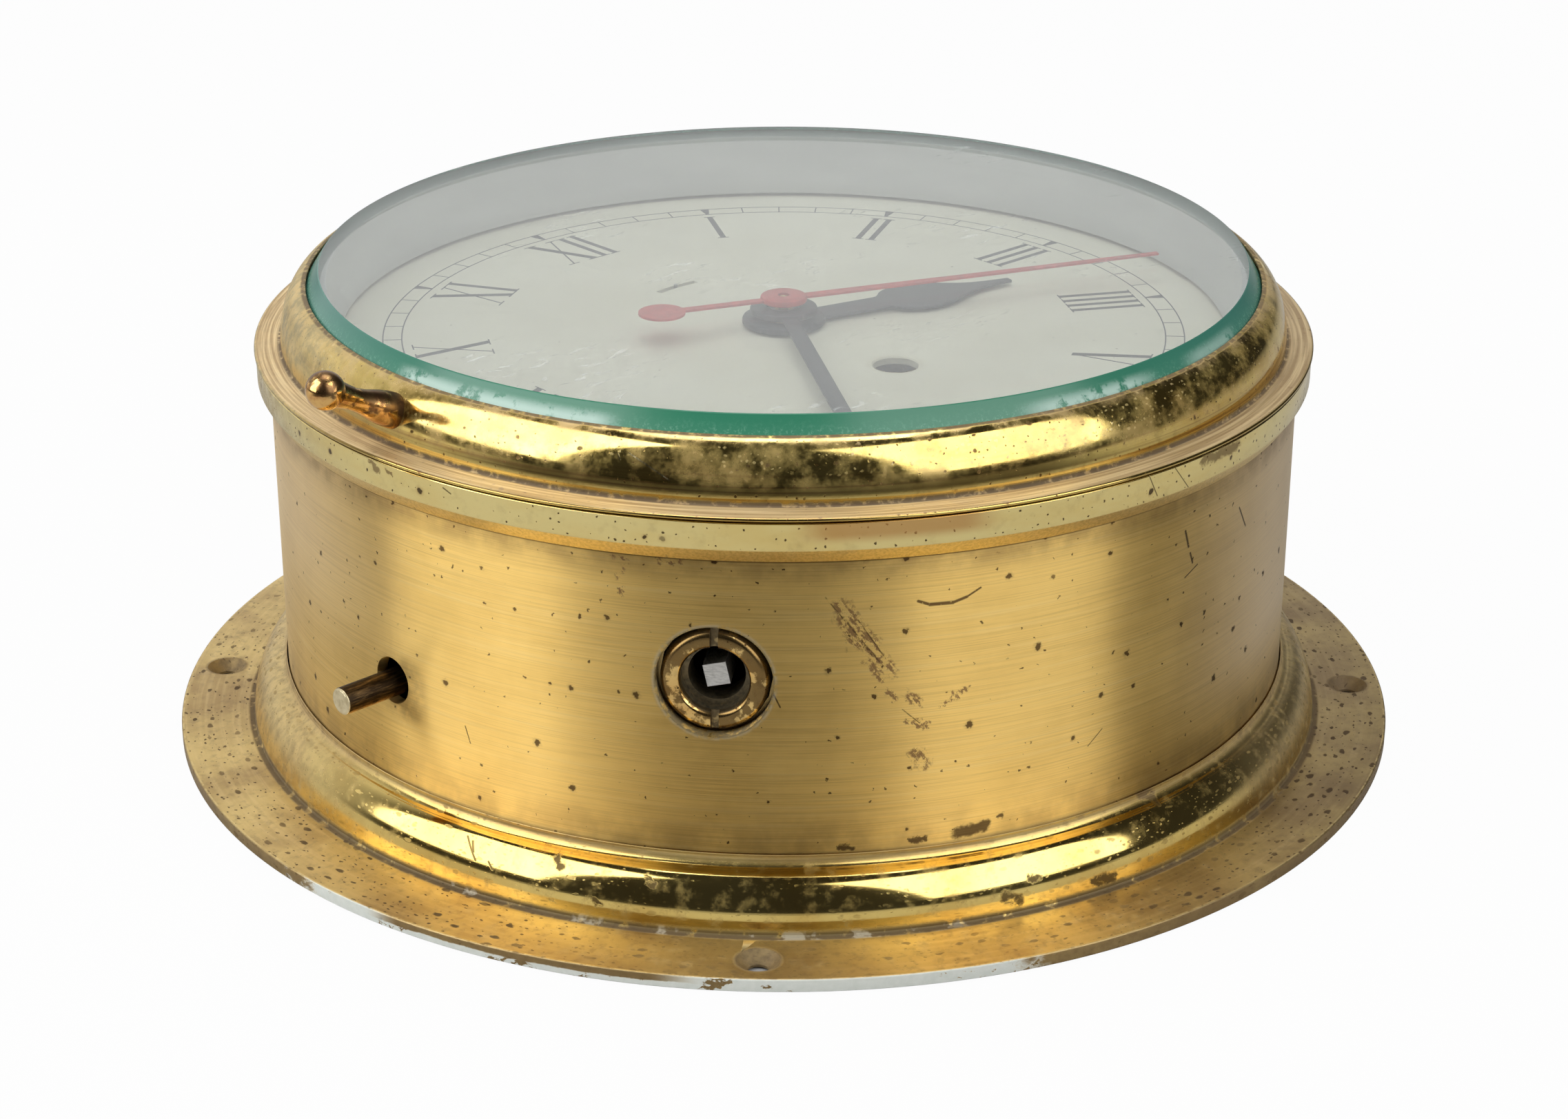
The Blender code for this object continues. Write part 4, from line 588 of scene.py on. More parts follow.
def flangeBrass():
    # the base: dull spotted flange, bright full round, dark dirt in the crevice, painted edge
    f = Finish("base ring brass")
    radius, height, around = f.ring()
    along, up = f.skin()
    cloud = f.clouds(0.05, 5.0, 0.6)
    ragged = f.warped(f.vector(along * 0.75, up * 1.15), 0.8, 1.0)
    onFlange = radius.rise(102.95, 103.3) * height.rise(3.2, 2.6)
    sides = around.band(62.0, 26.0, 30.0).most(around.band(-72.0, 25.0, 30.0))
    crowd = f.clouds(0.06, 3.0).rise(0.36, 0.60)
    spots = f.spots(ragged, 0.36, 0.30, 0.60) * (sides * 0.6 + crowd * 0.5).least(1.0)
    spots = spots.most(f.spots(ragged, 0.85, 0.26, 0.45) * (sides * 0.7 + 0.3))
    streak = f.noise(
        f.scaled(f.vector(radius, around * 0.05, height), (0.9, 1.0, 0.9)), 1.0, 4.0,
    ).rise(0.42, 0.75)
    fine = f.noise(f.scaled(f.vector(radius, around * 0.05, height), (4.0, 1.0, 4.0)), 1.0, 3.0)
    mottle = f.clouds(0.5, 5.0, 0.65)
    dull = f.mix(cloud.rise(0.35, 0.68), flangeLook["gold"], flangeLook["brown"])
    dull = f.mix(streak * 0.35, dull, (0.92, 0.70, 0.33))
    dull = f.mix(mottle.rise(0.48, 0.70) * 0.35, dull, (0.26, 0.19, 0.10))
    # painted shade: the flange darker on its right side and in a band at the front, broken up by clouds,
    # standing in for dimmer reflections there
    paintedShade = around.rise(-38.0, -66.0) * 0.6 + around.band(14.0, 14.0, 16.0) * 0.35
    dull = f.mix(paintedShade * (cloud * 0.8 + 0.5), dull, (0.22, 0.155, 0.085))
    bright = f.mix(cloud.rise(0.3, 0.75), (0.95, 0.72, 0.24), (0.74, 0.49, 0.13))
    veil = f.clouds(0.30, 4.0, 0.65).rise(0.50, 0.80)
    bright = f.mix(veil * 0.35, bright, (0.15, 0.09, 0.035))
    worn = around.rise(40.0, 66.0).most(around.rise(-44.0, -62.0)) * (mottle * 0.6 + 0.6)
    bright = f.mix(
        worn * 0.8, bright, f.mix(mottle.rise(0.38, 0.64), (0.72, 0.55, 0.27), (0.46, 0.35, 0.18)),
    )
    colour = f.mix(onFlange, bright, dull)
    colour = f.mix(spots * (onFlange * 0.50 + 0.35), colour, flangeLook["stain"])
    blots = marks(f, *f.pushed(around * (math.pi / 180.0 * 104.0), height, 1.4), [
        (-39.0, 5.8, -41.5, 4.8, 1.4), (-57.0, 4.6, -61.0, 4.2, 1.4), (-73.0, 14.5, -76.0, 13.0, 1.5),
        (24.0, 10.5, 22.5, 9.8, 0.8), (41.0, 11.2, 40.0, 10.6, 0.9), (33.0, 6.4, 32.0, 5.8, 0.9),
        (-44.0, 8.2, -45.5, 7.6, 0.8),
    ])
    scratch = marks(
        f, along, up,
        [
            (57.6, -88.6, 54.6, -93.6, 0.30), (56.2, -89.4, 55.4, -91.8, 0.34),
            (52.0, -93.0, 51.0, -94.5, 0.3),
        ],
    )
    blots = (blots * f.noise(ragged, 0.5, 5.0, 0.65).rise(0.34, 0.46)).most(scratch * 0.9)
    colour = f.mix(blots * 0.85, colour, (0.05, 0.032, 0.020))
    crevice = radius.band(103.3, 0.55, 0.6) * height.rise(4.0, 2.9)
    crevice = crevice * f.clouds(0.35, 4.0).rise(0.28, 0.45)
    pale = f.clouds(0.16, 4.0, 0.6).rise(0.56, 0.62) * around.band(15.0, 25.0, 15.0)
    colour = f.mix(crevice * 0.85, colour, f.mix(pale, (0.085, 0.055, 0.028), (0.40, 0.37, 0.30)))
    foot = height.rise(12.3, 13.4) * radius.rise(100.0, 98.6) * (mottle * 0.5 + 0.6)
    colour = f.mix(
        foot * 0.70, colour, f.mix(fine.rise(0.35, 0.65), (0.40, 0.29, 0.15), (0.17, 0.105, 0.05)),
    )
    x, y, z = f.parts(f.at)
    fromHole = ((x.size() - 78.2) ** 2.0 + (y.size() - 78.2) ** 2.0) ** 0.5
    sunk = fromHole.rise(4.5, 3.7) * (mottle * 0.7 + 0.5)
    colour = f.mix(sunk * 0.8, colour, (0.12, 0.085, 0.05))
    # a bright gold line along the flange's top edge: brass worn bright there, and a painted highlight on the
    # rounded edge
    line = radius.band(116.8, 0.12, 0.25) * height.rise(2.0, 2.3) * mottle.rise(0.40, 0.55)
    colour = f.mix(line * 0.7, colour, (0.86, 0.68, 0.32))
    # old paint left on the edge of the flange, chipped through to brass
    edge = radius.rise(116.55, 116.85) * height.rise(2.45, 2.25)
    torn = f.noise(ragged, 0.22, 5.0, 0.7)
    painted = (around + torn * 16.0).rise(-14.0, -10.0) * (around + torn * 20.0).rise(57.0, 53.0)
    rubbed = around.rise(6.0, 11.0) * around.rise(38.0, 34.0) * (height + torn).rise(1.45, 1.75)
    chips = torn.rise(0.57, 0.60).most(rubbed).most(1.0 - painted)
    paint = edge * (1.0 - chips)
    colour = f.mix(edge * chips * (mottle * 0.6 + 0.5), colour, (0.26, 0.175, 0.08))
    colour = f.mix(paint, colour, f.mix(f.clouds(0.8, 3.0), (0.62, 0.66, 0.60), (0.80, 0.82, 0.77)))
    matt = spots * 0.25 + crevice * 0.4 + sunk * 0.3 + blots * 0.4
    matt = matt + worn * (1.0 - onFlange) * 0.32 + foot * 0.3
    flat = fine * 0.14 + mottle * 0.12 + flangeLook["gloss"]
    rough = f.add("ShaderNodeMix", values={0: onFlange, 2: veil * 0.14 + 0.09, 3: flat})
    metal = 1.0 - paint - crevice * 0.7 - foot * 0.4 - sunk * 0.5 - veil * 0.3 - onFlange * 0.12
    relief = fine * 0.25 - spots * 0.6 - blots * 0.5 - sunk * 0.3 + paint * 1.5
    return f.put(
        Base_Color=colour,
        Metallic=metal.most(0.0),
        Roughness=(rough + matt.least(0.5) + paint * 0.25).least(0.85),
        Normal=f.bump(relief, 0.03, 0.5),
    )


def workBrass(name, gold=(0.72, 0.53, 0.22), gloss=0.26):
    # lacquered brass of the movement and small fittings, with a fine grain
    f = Finish(name, Metallic=1.0)
    grain = f.noise(f.scaled(f.at, (6.0, 0.5, 2.0)), 1.0, 3.0, 0.6)
    cloud = f.clouds(0.12, 4.0)
    pits = f.spots(f.warped(f.at, 1.0, 0.6), 0.8, 0.3, 0.3, space="3D")
    colour = f.mix(cloud.rise(0.35, 0.7), gold, tuple(v * 0.74 for v in gold))
    colour = f.mix(grain.rise(0.4, 0.8) * 0.25, colour, tuple(v * 0.55 for v in gold))
    colour = f.mix(pits * 0.7, colour, (0.13, 0.08, 0.04))
    return f.put(
        Base_Color=colour, Roughness=grain * 0.14 + cloud * 0.08 + gloss - 0.08,
        Normal=f.bump(grain - pits, 0.02, 0.4),
    )


def coverSheet():
    # the rear cover: dull rolled sheet, fingered and scratched
    f = Finish("dull cover sheet", Metallic=0.85)
    grain = f.noise(f.scaled(f.at, (0.12, 3.0, 1.0)), 1.0, 4.0, 0.65)
    cloud = f.noise(f.warped(f.at, 0.05, 8.0), 0.035, 5.0, 0.62)
    x, y, z = f.parts(f.at)
    place = f.warped(f.vector(x, y), 0.8, 1.0)
    spots = f.spots(place, 0.11, 0.16, 0.35).most(f.spots(place, 0.34, 0.18, 0.30))
    rub = f.noise(f.vector(x * 0.7 + y * 0.7, (y - x) * 0.04), 0.9, 3.0, 0.6).rise(0.66, 0.70)
    colour = f.mix(cloud.rise(0.35, 0.68), (0.50, 0.36, 0.155), (0.29, 0.20, 0.095))
    colour = f.mix(grain.rise(0.4, 0.75) * 0.30, colour, (0.20, 0.135, 0.065))
    colour = f.mix(rub * 0.35, colour, (0.72, 0.54, 0.27))
    colour = f.mix(spots * 0.75, colour, (0.085, 0.055, 0.035))
    return f.put(
        Base_Color=colour, Roughness=grain * 0.14 + spots * 0.15 + cloud * 0.12 + 0.28,
        Normal=f.bump(grain * 0.4 - spots - rub * 0.4, 0.03, 0.5),
    )


def copperGold():
    # the tab: worn warm polish, dark on top of the ball, and a painted shadow near its seat
    f = Finish("worn warm brass", Metallic=1.0)
    radius, height, around = f.ring()
    cloud = f.clouds(0.5, 5.0, 0.65)
    upper = f.noise(f.warped(f.at, 0.8, 1.2), 0.40, 5.0, 0.6) + (height - radius * 0.52 - 33.6) * 0.05
    dark = upper.rise(0.50, 0.62)
    # painted shadow: the tab darkened near its seat on the round
    seat = radius.rise(94.9, 93.2) * f.clouds(0.9, 3.0).rise(0.2, 0.5)
    colour = f.mix(cloud.rise(0.35, 0.7), (0.90, 0.56, 0.20), (0.60, 0.30, 0.11))
    colour = f.mix(dark * 0.80, colour, (0.085, 0.042, 0.026))
    colour = f.mix(seat * 0.85, colour, (0.05, 0.03, 0.018))
    relief = cloud - dark * 0.5
    return f.put(
        Base_Color=colour, Roughness=dark * 0.18 + seat * 0.25 + 0.13, Normal=f.bump(relief, 0.03, 0.6),
    )


def pinBrown():
    # the stop pin: dark streaked brown, orange underneath, its end rubbed bright
    f = Finish("brown stop pin", Metallic=1.0)
    radius, height, around = f.ring()
    streak = f.noise(f.vector(radius * 0.22, around * 2.6, height * 2.2), 1.0, 4.0, 0.65)
    cloud = f.clouds(0.6, 5.0, 0.65)
    low = height.rise(32.0, 30.6) * cloud.rise(0.35, 0.6)
    end = radius.rise(106.22, 106.34)
    colour = f.mix(streak.rise(0.42, 0.70), (0.028, 0.018, 0.010), (0.13, 0.08, 0.034))
    colour = f.mix(low * 0.65, colour, (0.55, 0.30, 0.10))
    colour = f.mix(end * 0.9, colour, f.mix(cloud.rise(0.35, 0.7), (0.92, 0.80, 0.52), (0.66, 0.54, 0.31)))
    return f.put(Base_Color=colour, Roughness=cloud * 0.25 + 0.24, Normal=f.bump(streak + cloud, 0.03, 0.5))


def steel(name, colour, gloss=0.32, stretch=(1.0, 1.0, 8.0), stain=(0.16, 0.10, 0.06), stained=0.25):
    f = Finish(name, Metallic=1.0)
    grain = f.noise(f.scaled(f.at, stretch), 1.0, 3.0, 0.6)
    rust = f.clouds(0.5, 5.0, 0.65).rise(0.50, 0.72)
    tone = f.mix(grain.rise(0.3, 0.75), colour, tuple(v * 0.66 for v in colour))
    tone = f.mix(rust * stained, tone, stain)
    return f.put(
        Base_Color=tone, Roughness=grain * 0.14 + rust * 0.16 + gloss, Normal=f.bump(grain, 0.02, 0.4),
    )


def darkHands():
    # blued steel gone dull, with dust on it
    f = Finish("dark blued hands", Metallic=0.35, Roughness=0.42)
    cloud = f.clouds(0.35, 5.0, 0.6)
    dust = f.spots(f.warped(f.at, 1.2, 0.5), 1.3, 0.3, 0.25)
    colour = f.mix(cloud.rise(0.35, 0.7), (0.028, 0.032, 0.040), (0.055, 0.058, 0.066))
    colour = f.mix(dust * 0.25, colour, (0.30, 0.30, 0.28))
    return f.put(Base_Color=colour, Roughness=cloud * 0.25 + 0.32, Normal=f.bump(cloud - dust, 0.02, 0.4))


def redPaint():
    f = Finish("red hand paint")
    cloud = f.clouds(0.5, 4.0)
    chips = f.spots(f.warped(f.at, 1.4, 0.5), 1.0, 0.26, 0.12)
    colour = f.mix(cloud.rise(0.3, 0.7), (0.62, 0.045, 0.035), (0.47, 0.030, 0.025))
    colour = f.mix(chips * 0.6, colour, (0.32, 0.12, 0.08))
    return f.put(Base_Color=colour, Roughness=cloud * 0.2 + 0.30, Normal=f.bump(cloud - chips, 0.02, 0.4))


def dialPaint():
    # cream enamel paint, slightly mottled, with fly specks, a browner rim round the holes and painted shade
    # round its edge at the foot of the sight ring
    f = Finish("cream dial paint")
    f.shader.inputs["Specular IOR Level"].default_value = 0.3
    radius, height, around = f.ring()
    x, y, z = f.parts(f.at)
    cloud = f.clouds(0.03, 5.0, 0.6)
    fine = f.clouds(0.9, 3.0, 0.6)
    specks = f.spots(f.warped(f.at, 1.5, 0.35), 0.33, 0.10, 0.05).most(f.spots(f.at, 0.8, 0.10, 0.04))
    hole = ((x * x + (y + 30.0) * (y + 30.0)) ** 0.5).rise(6.2, 4.4)
    # painted shade: browner towards the edge, where the sight ring stands over the dial
    edge = radius.rise(80.5, 84.5)
    colour = f.mix(cloud.rise(0.3, 0.7), (0.82, 0.80, 0.67), (0.76, 0.735, 0.60))
    colour = f.mix(fine.rise(0.45, 0.75) * 0.12, colour, (0.66, 0.62, 0.48))
    colour = f.mix(edge * 0.35 + hole * 0.25, colour, (0.55, 0.48, 0.33))
    colour = f.mix(specks * 0.7, colour, (0.20, 0.16, 0.11))
    return f.put(Base_Color=colour, Roughness=fine * 0.2 + 0.56, Normal=f.bump(fine - specks, 0.02, 0.35))


def dialInk():
    f = Finish("dial printing")
    worn = f.clouds(1.1, 4.0, 0.65)
    colour = f.mix(worn.rise(0.5, 0.8) * 0.5, (0.030, 0.030, 0.034), (0.20, 0.19, 0.17))
    return f.put(Base_Color=colour, Roughness=worn * 0.2 + 0.40)


def sightPaint():
    # pale matt grey paint, darker lower down as painted shade towards the dial
    f = Finish("pale grey matt paint")
    radius, height, around = f.ring()
    fine = f.clouds(1.6, 3.0, 0.6)
    cloud = f.noise(f.scaled(f.at, (0.03, 0.03, 0.12)), 1.0, 4.0)
    # painted shade: darker towards the dial
    low = height.rise(75.0, 71.4)
    colour = f.mix(cloud.rise(0.3, 0.7), (0.60, 0.615, 0.60), (0.53, 0.545, 0.535))
    colour = f.mix(low * 0.35, colour, (0.40, 0.40, 0.375))
    return f.put(Base_Color=colour, Roughness=fine * 0.15 + 0.46, Normal=f.bump(fine, 0.015, 0.4))


def clearGlass():
    # real glass with a thin dusty film over it
    f = Finish("clear glass", Metallic=0.0)
    f.shader.inputs["Transmission Weight"].default_value = 1.0
    f.shader.inputs["IOR"].default_value = 1.5
    f.shader.inputs["Roughness"].default_value = 0.0
    f.shader.inputs["Base Color"].default_value = (0.96, 0.985, 0.972, 1.0)
    film = f.add("ShaderNodeBsdfDiffuse", values={"Color": (0.80, 0.83, 0.80, 1.0)})
    cloud = f.clouds(0.03, 4.0, 0.6).rise(0.3, 0.75) * 0.02
    smear = f.noise(f.scaled(f.warped(f.at, 0.1, 6.0), (0.16, 0.45, 0.2)), 1.0, 5.0, 0.7)
    patches = f.clouds(0.025, 3.0).rise(0.54, 0.62)
    radius, height, around = f.ring()
    amount = cloud + smear.rise(0.56, 0.64) * patches * height.rise(89.5, 89.7) * 0.22 + 0.012
    both = f.add("ShaderNodeMixShader", values={0: amount, 1: Wire(f, f.shader.outputs[0]), 2: film})
    f.tree.links.new(both.socket, f.tree.nodes["Material Output"].inputs["Surface"])
    return f.material


def bevelGlass():
    # the ground edge of the glass: deep green, chalky where it is bruised
    f = Finish("green glass bevel", IOR=1.5)
    radius, height, around = f.ring()
    fine = f.clouds(2.2, 3.0, 0.6)
    ragged = f.warped(f.at, 0.6, 1.6)
    down = height.rise(89.6, 85.4)
    where = around.band(33.0, 12.0, 4.0).most(around.band(-36.0, 5.0, 6.0) * 0.9)
    where = where.most(around.band(-58.0, 3.0, 5.0) * 0.5)
    bruise = f.noise(ragged, 0.20, 5.0, 0.65).rise(0.40, 0.50) * where * height.rise(89.0, 87.2)
    frost = f.clouds(1.4, 4.0, 0.7).rise(0.46, 0.68) * down
    colour = f.mix(around.size().rise(20.0, 75.0), (0.034, 0.205, 0.118), (0.054, 0.190, 0.149))
    colour = f.mix(frost * 0.45 + down * 0.18, colour, (0.19, 0.45, 0.32))
    colour = f.mix(bruise * 0.8, colour, (0.58, 0.76, 0.68))
    return f.put(
        Base_Color=colour, Roughness=frost * 0.15 + bruise * 0.25 + 0.22, Normal=f.bump(fine, 0.02, 0.3),
    )


print("materials")
finishes = {
    "bezel": bezelBrass(),
    "rim": rimBrass(),
    "bush": bushBrass(),
    "drum": brushedBrass(),
    "base": flangeBrass(),
    "tab": copperGold(),
    "cover": coverSheet(),
    "fitting": workBrass("fitting brass", (0.66, 0.48, 0.20), 0.30),
    "movement": workBrass("movement brass"),
    "steel": steel("ground steel", (0.50, 0.50, 0.51)),
    "screw": steel("old screw steel", (0.36, 0.33, 0.28), 0.36, stained=0.5),
    "square": steel("bright square steel", (0.85, 0.84, 0.80), 0.38, stained=0.12),
    "spring": steel("blue spring steel", (0.13, 0.16, 0.26), 0.25, stained=0.05),
    "pin": pinBrown(),
    "hands": darkHands(),
    "red": redPaint(),
    "dial": dialPaint(),
    "ink": dialInk(),
    "sight": sightPaint(),
    "glass": clearGlass(),
    "bevel": bevelGlass(),
}

# base ring: flange, full round and foot

baseRing = {
    "outer": 117.0, "thick": 2.4, "edge": 0.3, "roundAt": (97.5, 2.4), "roundWide": 5.5, "roundTall": 9.8,
    "filletSize": 1.85,
    "inner": 96.3, "lipInner": 84.8, "seat": 1.5, "lipTop": 3.9, "coverEdge": 90.55,
    "holeAt": 110.6, "hole": 1.8, "head": 3.75,
}
its = baseRing
fullRound = oval(*its["roundAt"], its["roundWide"], its["roundTall"], 2.0, 82.0, 36)
footHeight = fullRound[-1][1] + its["filletSize"] + 0.1
profile = [
    (its["outer"], 0.15),
    *bow(its["outer"] - its["edge"], its["thick"] - its["edge"], its["edge"], 0.0, 90.0, 4),
]
profile += [(fullRound[0][0] + 0.2, its["thick"]), *fullRound]
profile += bow(its["inner"] + its["filletSize"] + 0.05, footHeight, its["filletSize"], 266.0, 184.0, 10)
profile += [
    (its["inner"] + 0.13, footHeight + 0.2), (its["inner"], footHeight + 0.3),
    (its["inner"], its["lipTop"]),
]
profile += [
    (its["lipInner"], its["lipTop"]), (its["lipInner"], its["seat"]), (its["coverEdge"], its["seat"]),
]
profile += [(its["coverEdge"], 0.15), (its["coverEdge"] + 0.15, 0.0), (its["outer"] - 0.15, 0.0)]
base = turned("base_ring", profile)
sink = [
    (0.0, -1.0), (its["hole"], -1.0), (its["hole"], its["thick"] - its["head"] + its["hole"]),
    (its["head"], its["thick"]),
]
sink += [(its["head"] + 0.25, its["thick"] + 0.15), (its["head"] + 0.25, 4.0), (0.0, 4.0)]
for i in range(4):
    place = shift(*onClock(45.0 + 90.0 * i, its["holeAt"]))
    cut(base, turned("sink", sink, 48, place, ring=False))
finished(smooth(base), "case", finishes["base"], "base_moulding")
print("base ring")

# drum

drumTube = {
    "outer": 96.0, "wall": 2.2, "low": 4.2, "top": 68.55, "rings": (15.0, 60.0), "bushClock": 229.7,
    "bushHeight": 45.9, "bushHole": 9.85, "stopClock": 268.0, "stopHeight": 33.3, "stopHole": 4.2,
}
its = drumTube
inside = its["outer"] - its["wall"]
profile = [
    (its["outer"], its["low"]), *[(its["outer"], height) for height in its["rings"]],
    (its["outer"], its["top"] - 0.1),
]
profile += [(its["outer"] - 0.1, its["top"]), (inside, its["top"]), (inside, its["low"])]
drum = turned("drum_tube", profile, 288)
for name in ("bush", "stop"):
    angle, height, hole = its[name + "Clock"], its[name + "Height"], its[name + "Hole"]
    bore = [
        (0.0, 88.0), (hole, 88.0), (hole, 94.6), (hole + 0.05, 95.6), (hole + 0.25, 96.6),
        (hole + 0.25, 99.0), (0.0, 99.0),
    ]
    cut(drum, turned("bore", bore, 96, outward(angle, height), ring=False))
finished(smooth(drum, 35.0), "case", finishes["drum"], "case_drum")
print("drum")

# rim band with the dial's ledge

rimBand = {
    "outer": 98.3, "top": 75.4, "bandFoot": 70.6, "chamfer": (96.45, 68.05), "overlap": 96.12,
    "overlapLow": 68.1, "shoulder": 68.85, "spigot": 93.5, "spigotLow": 61.85, "ledge": 69.0,
    "ledgeLow": 67.2, "ledgeInner": 84.4, "wallInner": 91.6,
}
its = rimBand
profile = [
    (its["outer"] - 0.12, its["top"]), (its["outer"], its["top"] - 0.12),
    (its["outer"], its["bandFoot"] + 0.15), (its["outer"] - 0.1, its["bandFoot"] - 0.05),
]
profile += [
    its["chamfer"], (its["overlap"], its["overlapLow"]), (its["overlap"], its["shoulder"]),
    (its["spigot"], its["shoulder"]), (its["spigot"], its["spigotLow"]), (its["wallInner"], its["spigotLow"]),
    (its["wallInner"], its["ledgeLow"]), (its["ledgeInner"], its["ledgeLow"]),
]
profile += [
    (its["ledgeInner"], its["ledge"]), (its["wallInner"], its["ledge"]),
    (its["wallInner"], its["top"] - 0.1), (its["wallInner"] + 0.1, its["top"]),
]
rim = turned("rim_band", profile)
finished(smooth(rim), "case", finishes["rim"], "case_rim")

# bezel ring

bezelRing = {
    "skirt": 98.6, "low": 75.75, "skirtEdge": 0.65, "roundAt": (88.0, 76.9), "roundWide": 5.7,
    "roundTall": 10.2, "recess": 90.35, "recessTop": 84.65,
}
its = bezelRing
fullRound = oval(*its["roundAt"], its["roundWide"], its["roundTall"], 82.0, 0.0, 41)
foot = fullRound[-1]
edge = its["skirtEdge"] / 2
profile = [*fullRound, (foot[0] + 0.04, foot[1] - 0.18), (foot[0] + 0.25, foot[1] - 0.28)]
profile += [
    (its["skirt"] - 0.9, its["low"] + its["skirtEdge"] + 0.12),
    *bow(its["skirt"] - edge, its["low"] + edge, edge, 80.0, -90.0, 8),
]
profile += [
    (its["recess"], its["low"]), (its["recess"], its["recessTop"]),
    (fullRound[0][0] - 0.24, fullRound[0][1] - 0.25), (fullRound[0][0] - 0.18, fullRound[0][1] - 0.05),
]
bezel = turned("bezel_ring", profile)
finished(smooth(bezel, 40.0), "bezel_door", finishes["bezel"], "bezel")

# glass with its ground bevel

pane = {"radius": 89.35, "top": 89.79, "low": 83.39, "bevelFoot": 84.95, "bevelTop": 86.2}
its = pane
profile = [
    (0.0, its["top"]), (its["bevelTop"] - 0.12, its["top"]), (its["bevelTop"] + 0.05, its["top"] - 0.12),
    (its["radius"], its["bevelFoot"]),
]
profile += [(its["radius"], its["low"] + 0.2), (its["radius"] - 0.2, its["low"]), (0.0, its["low"])]
glass = turned("glass_pane", profile, ring=False)
finished(smooth(glass, 20.0), "bezel_door", finishes["glass"], "glass")
glass.data.materials.append(finishes["bevel"])
for face in glass.data.polygons:
    if face.center.xy.length > (its["bevelTop"] - 0.05) * mm:
        face.material_index = 1

# sight ring between glass and dial

sightRing = {
    "flange": 89.95, "flangeLow": 82.29, "flangeTop": 83.09, "top": 84.8, "foot": 82.9, "footHeight": 71.3,
    "wall": 0.9,
}
its = sightRing
profile = [
    (its["flange"], its["flangeTop"]), (its["flange"], its["flangeLow"]),
    (its["top"] + its["wall"], its["flangeLow"]), (its["foot"] + its["wall"], its["footHeight"]),
]
profile += [
    (its["foot"] + 0.25, its["footHeight"]), (its["foot"], its["footHeight"] + 0.2),
    (its["top"], its["flangeTop"] - 0.15), (its["top"] + 0.15, its["flangeTop"]),
]
surround = turned("sight_cone", profile)
finished(smooth(surround), "bezel_door", finishes["sight"], "sight_ring")
print("rim, bezel, glass and sight ring")

# dial plate

dialPlate = {
    "radius": 91.3, "low": 69.3, "top": 70.7, "centre": 4.6, "windingAt": (0.0, -30.0), "winding": 4.2,
    "slotAt": 30.8, "slotSweep": 9.0, "slot": 0.7, "screwAt": 87.6, "screwHole": 1.7, "through": (66.0, 74.0),
}
its = dialPlate
dial = turned(
    "dial_plate",
    [
        (its["radius"], its["low"]), (its["radius"], its["top"] - 0.15), (its["radius"] - 0.15, its["top"]),
        (its["centre"], its["top"]), (its["centre"], its["low"]),
    ],
)
under, over = its["through"]
tall = [
    (0.0, under), (its["winding"], under), (its["winding"], its["top"] - 0.25),
    (its["winding"] + 0.3, its["top"] + 0.05), (its["winding"] + 0.3, over), (0.0, over),
]
cut(dial, turned("bore", tall, 64, shift(*its["windingAt"]), ring=False))
slot = bow(0.0, 0.0, its["slotAt"] + its["slot"], 90.0 - its["slotSweep"], 90.0 + its["slotSweep"], 12)
slot += bow(0.0, 0.0, its["slotAt"] - its["slot"], 90.0 + its["slotSweep"], 90.0 - its["slotSweep"], 12)
cut(dial, plate("slot", slot, under, over))
for i in range(3):
    place = shift(*onClock(60.0 + 120.0 * i, its["screwAt"]))
    cut(dial, turned("bore", corners(0.0, under, its["screwHole"], over), 24, place, ring=False))
finished(smooth(dial, 35.0), "case", finishes["dial"], "dial")

# dial printing: numerals and minute track

printing = {
    "middle": 62.5, "tall": 14.2, "bar": 1.15, "hair": 0.34, "serif": 0.26, "gap": 2.75, "trackIn": 71.5,
    "trackOut": 75.0, "line": 0.24, "low": 70.7, "high": 70.73,
}
ink = printing["low"], printing["high"]


def strokePlate(name, low, high, lowX, highX, width):
    # one straight stroke of a numeral, cut off level at both ends
    half = width / 2
    ends = [(lowX - half, low), (lowX + half, low), (highX + half, high), (highX - half, high)]
    return plate(name, ends, *ink)


def barAcross(name, y, left, right):
    half = printing["serif"] / 2
    return plate(name, corners(left, y - half, right, y + half), *ink)


top, foot = printing["tall"] / 2, -printing["tall"] / 2
letters = {
    "I": (printing["gap"], joined("letterOne", [
        strokePlate("bar", foot, top, 0.0, 0.0, printing["bar"]), barAcross("serif", top, -1.15, 1.15),
        barAcross("serif", foot, -1.15, 1.15)])),
    "V": (7.6, joined("letterFive", [
        strokePlate("thick", foot, top, 0.0, -2.7, printing["bar"] + 0.25),
        strokePlate("thin", foot, top, 0.0, 2.8, printing["hair"]),
        barAcross("serif", top, -4.2, -1.4), barAcross("serif", top, 1.6, 4.0)])),
    "X": (7.8, joined("letterTen", [
        strokePlate("thick", foot, top, 2.7, -2.7, printing["bar"] + 0.3),
        strokePlate("thin", foot, top, -2.7, 2.7, printing["hair"]),
        barAcross("serif", top, -4.1, -1.2), barAcross("serif", top, 1.4, 4.0),
        barAcross("serif", foot, -4.0, -1.4), barAcross("serif", foot, 1.2, 4.1)])),
}
numerals = ("XII", "I", "II", "III", "IIII", "V", "VI", "VII", "VIII", "IX", "X", "XI")
made = []
for hour, text in enumerate(numerals):
    width = sum(letters[c][0] for c in text)
    start = -width / 2
    turn = Matrix.Rotation(-math.radians(30.0 * hour), 4, "Z")
    for c in text:
        across, master = letters[c]
        made.append(copyOf(master, "numeral", turn @ shift(start + across / 2, printing["middle"])))
        start += across
for across, master in letters.values():
    bpy.data.objects.remove(master)
half = printing["line"] / 2
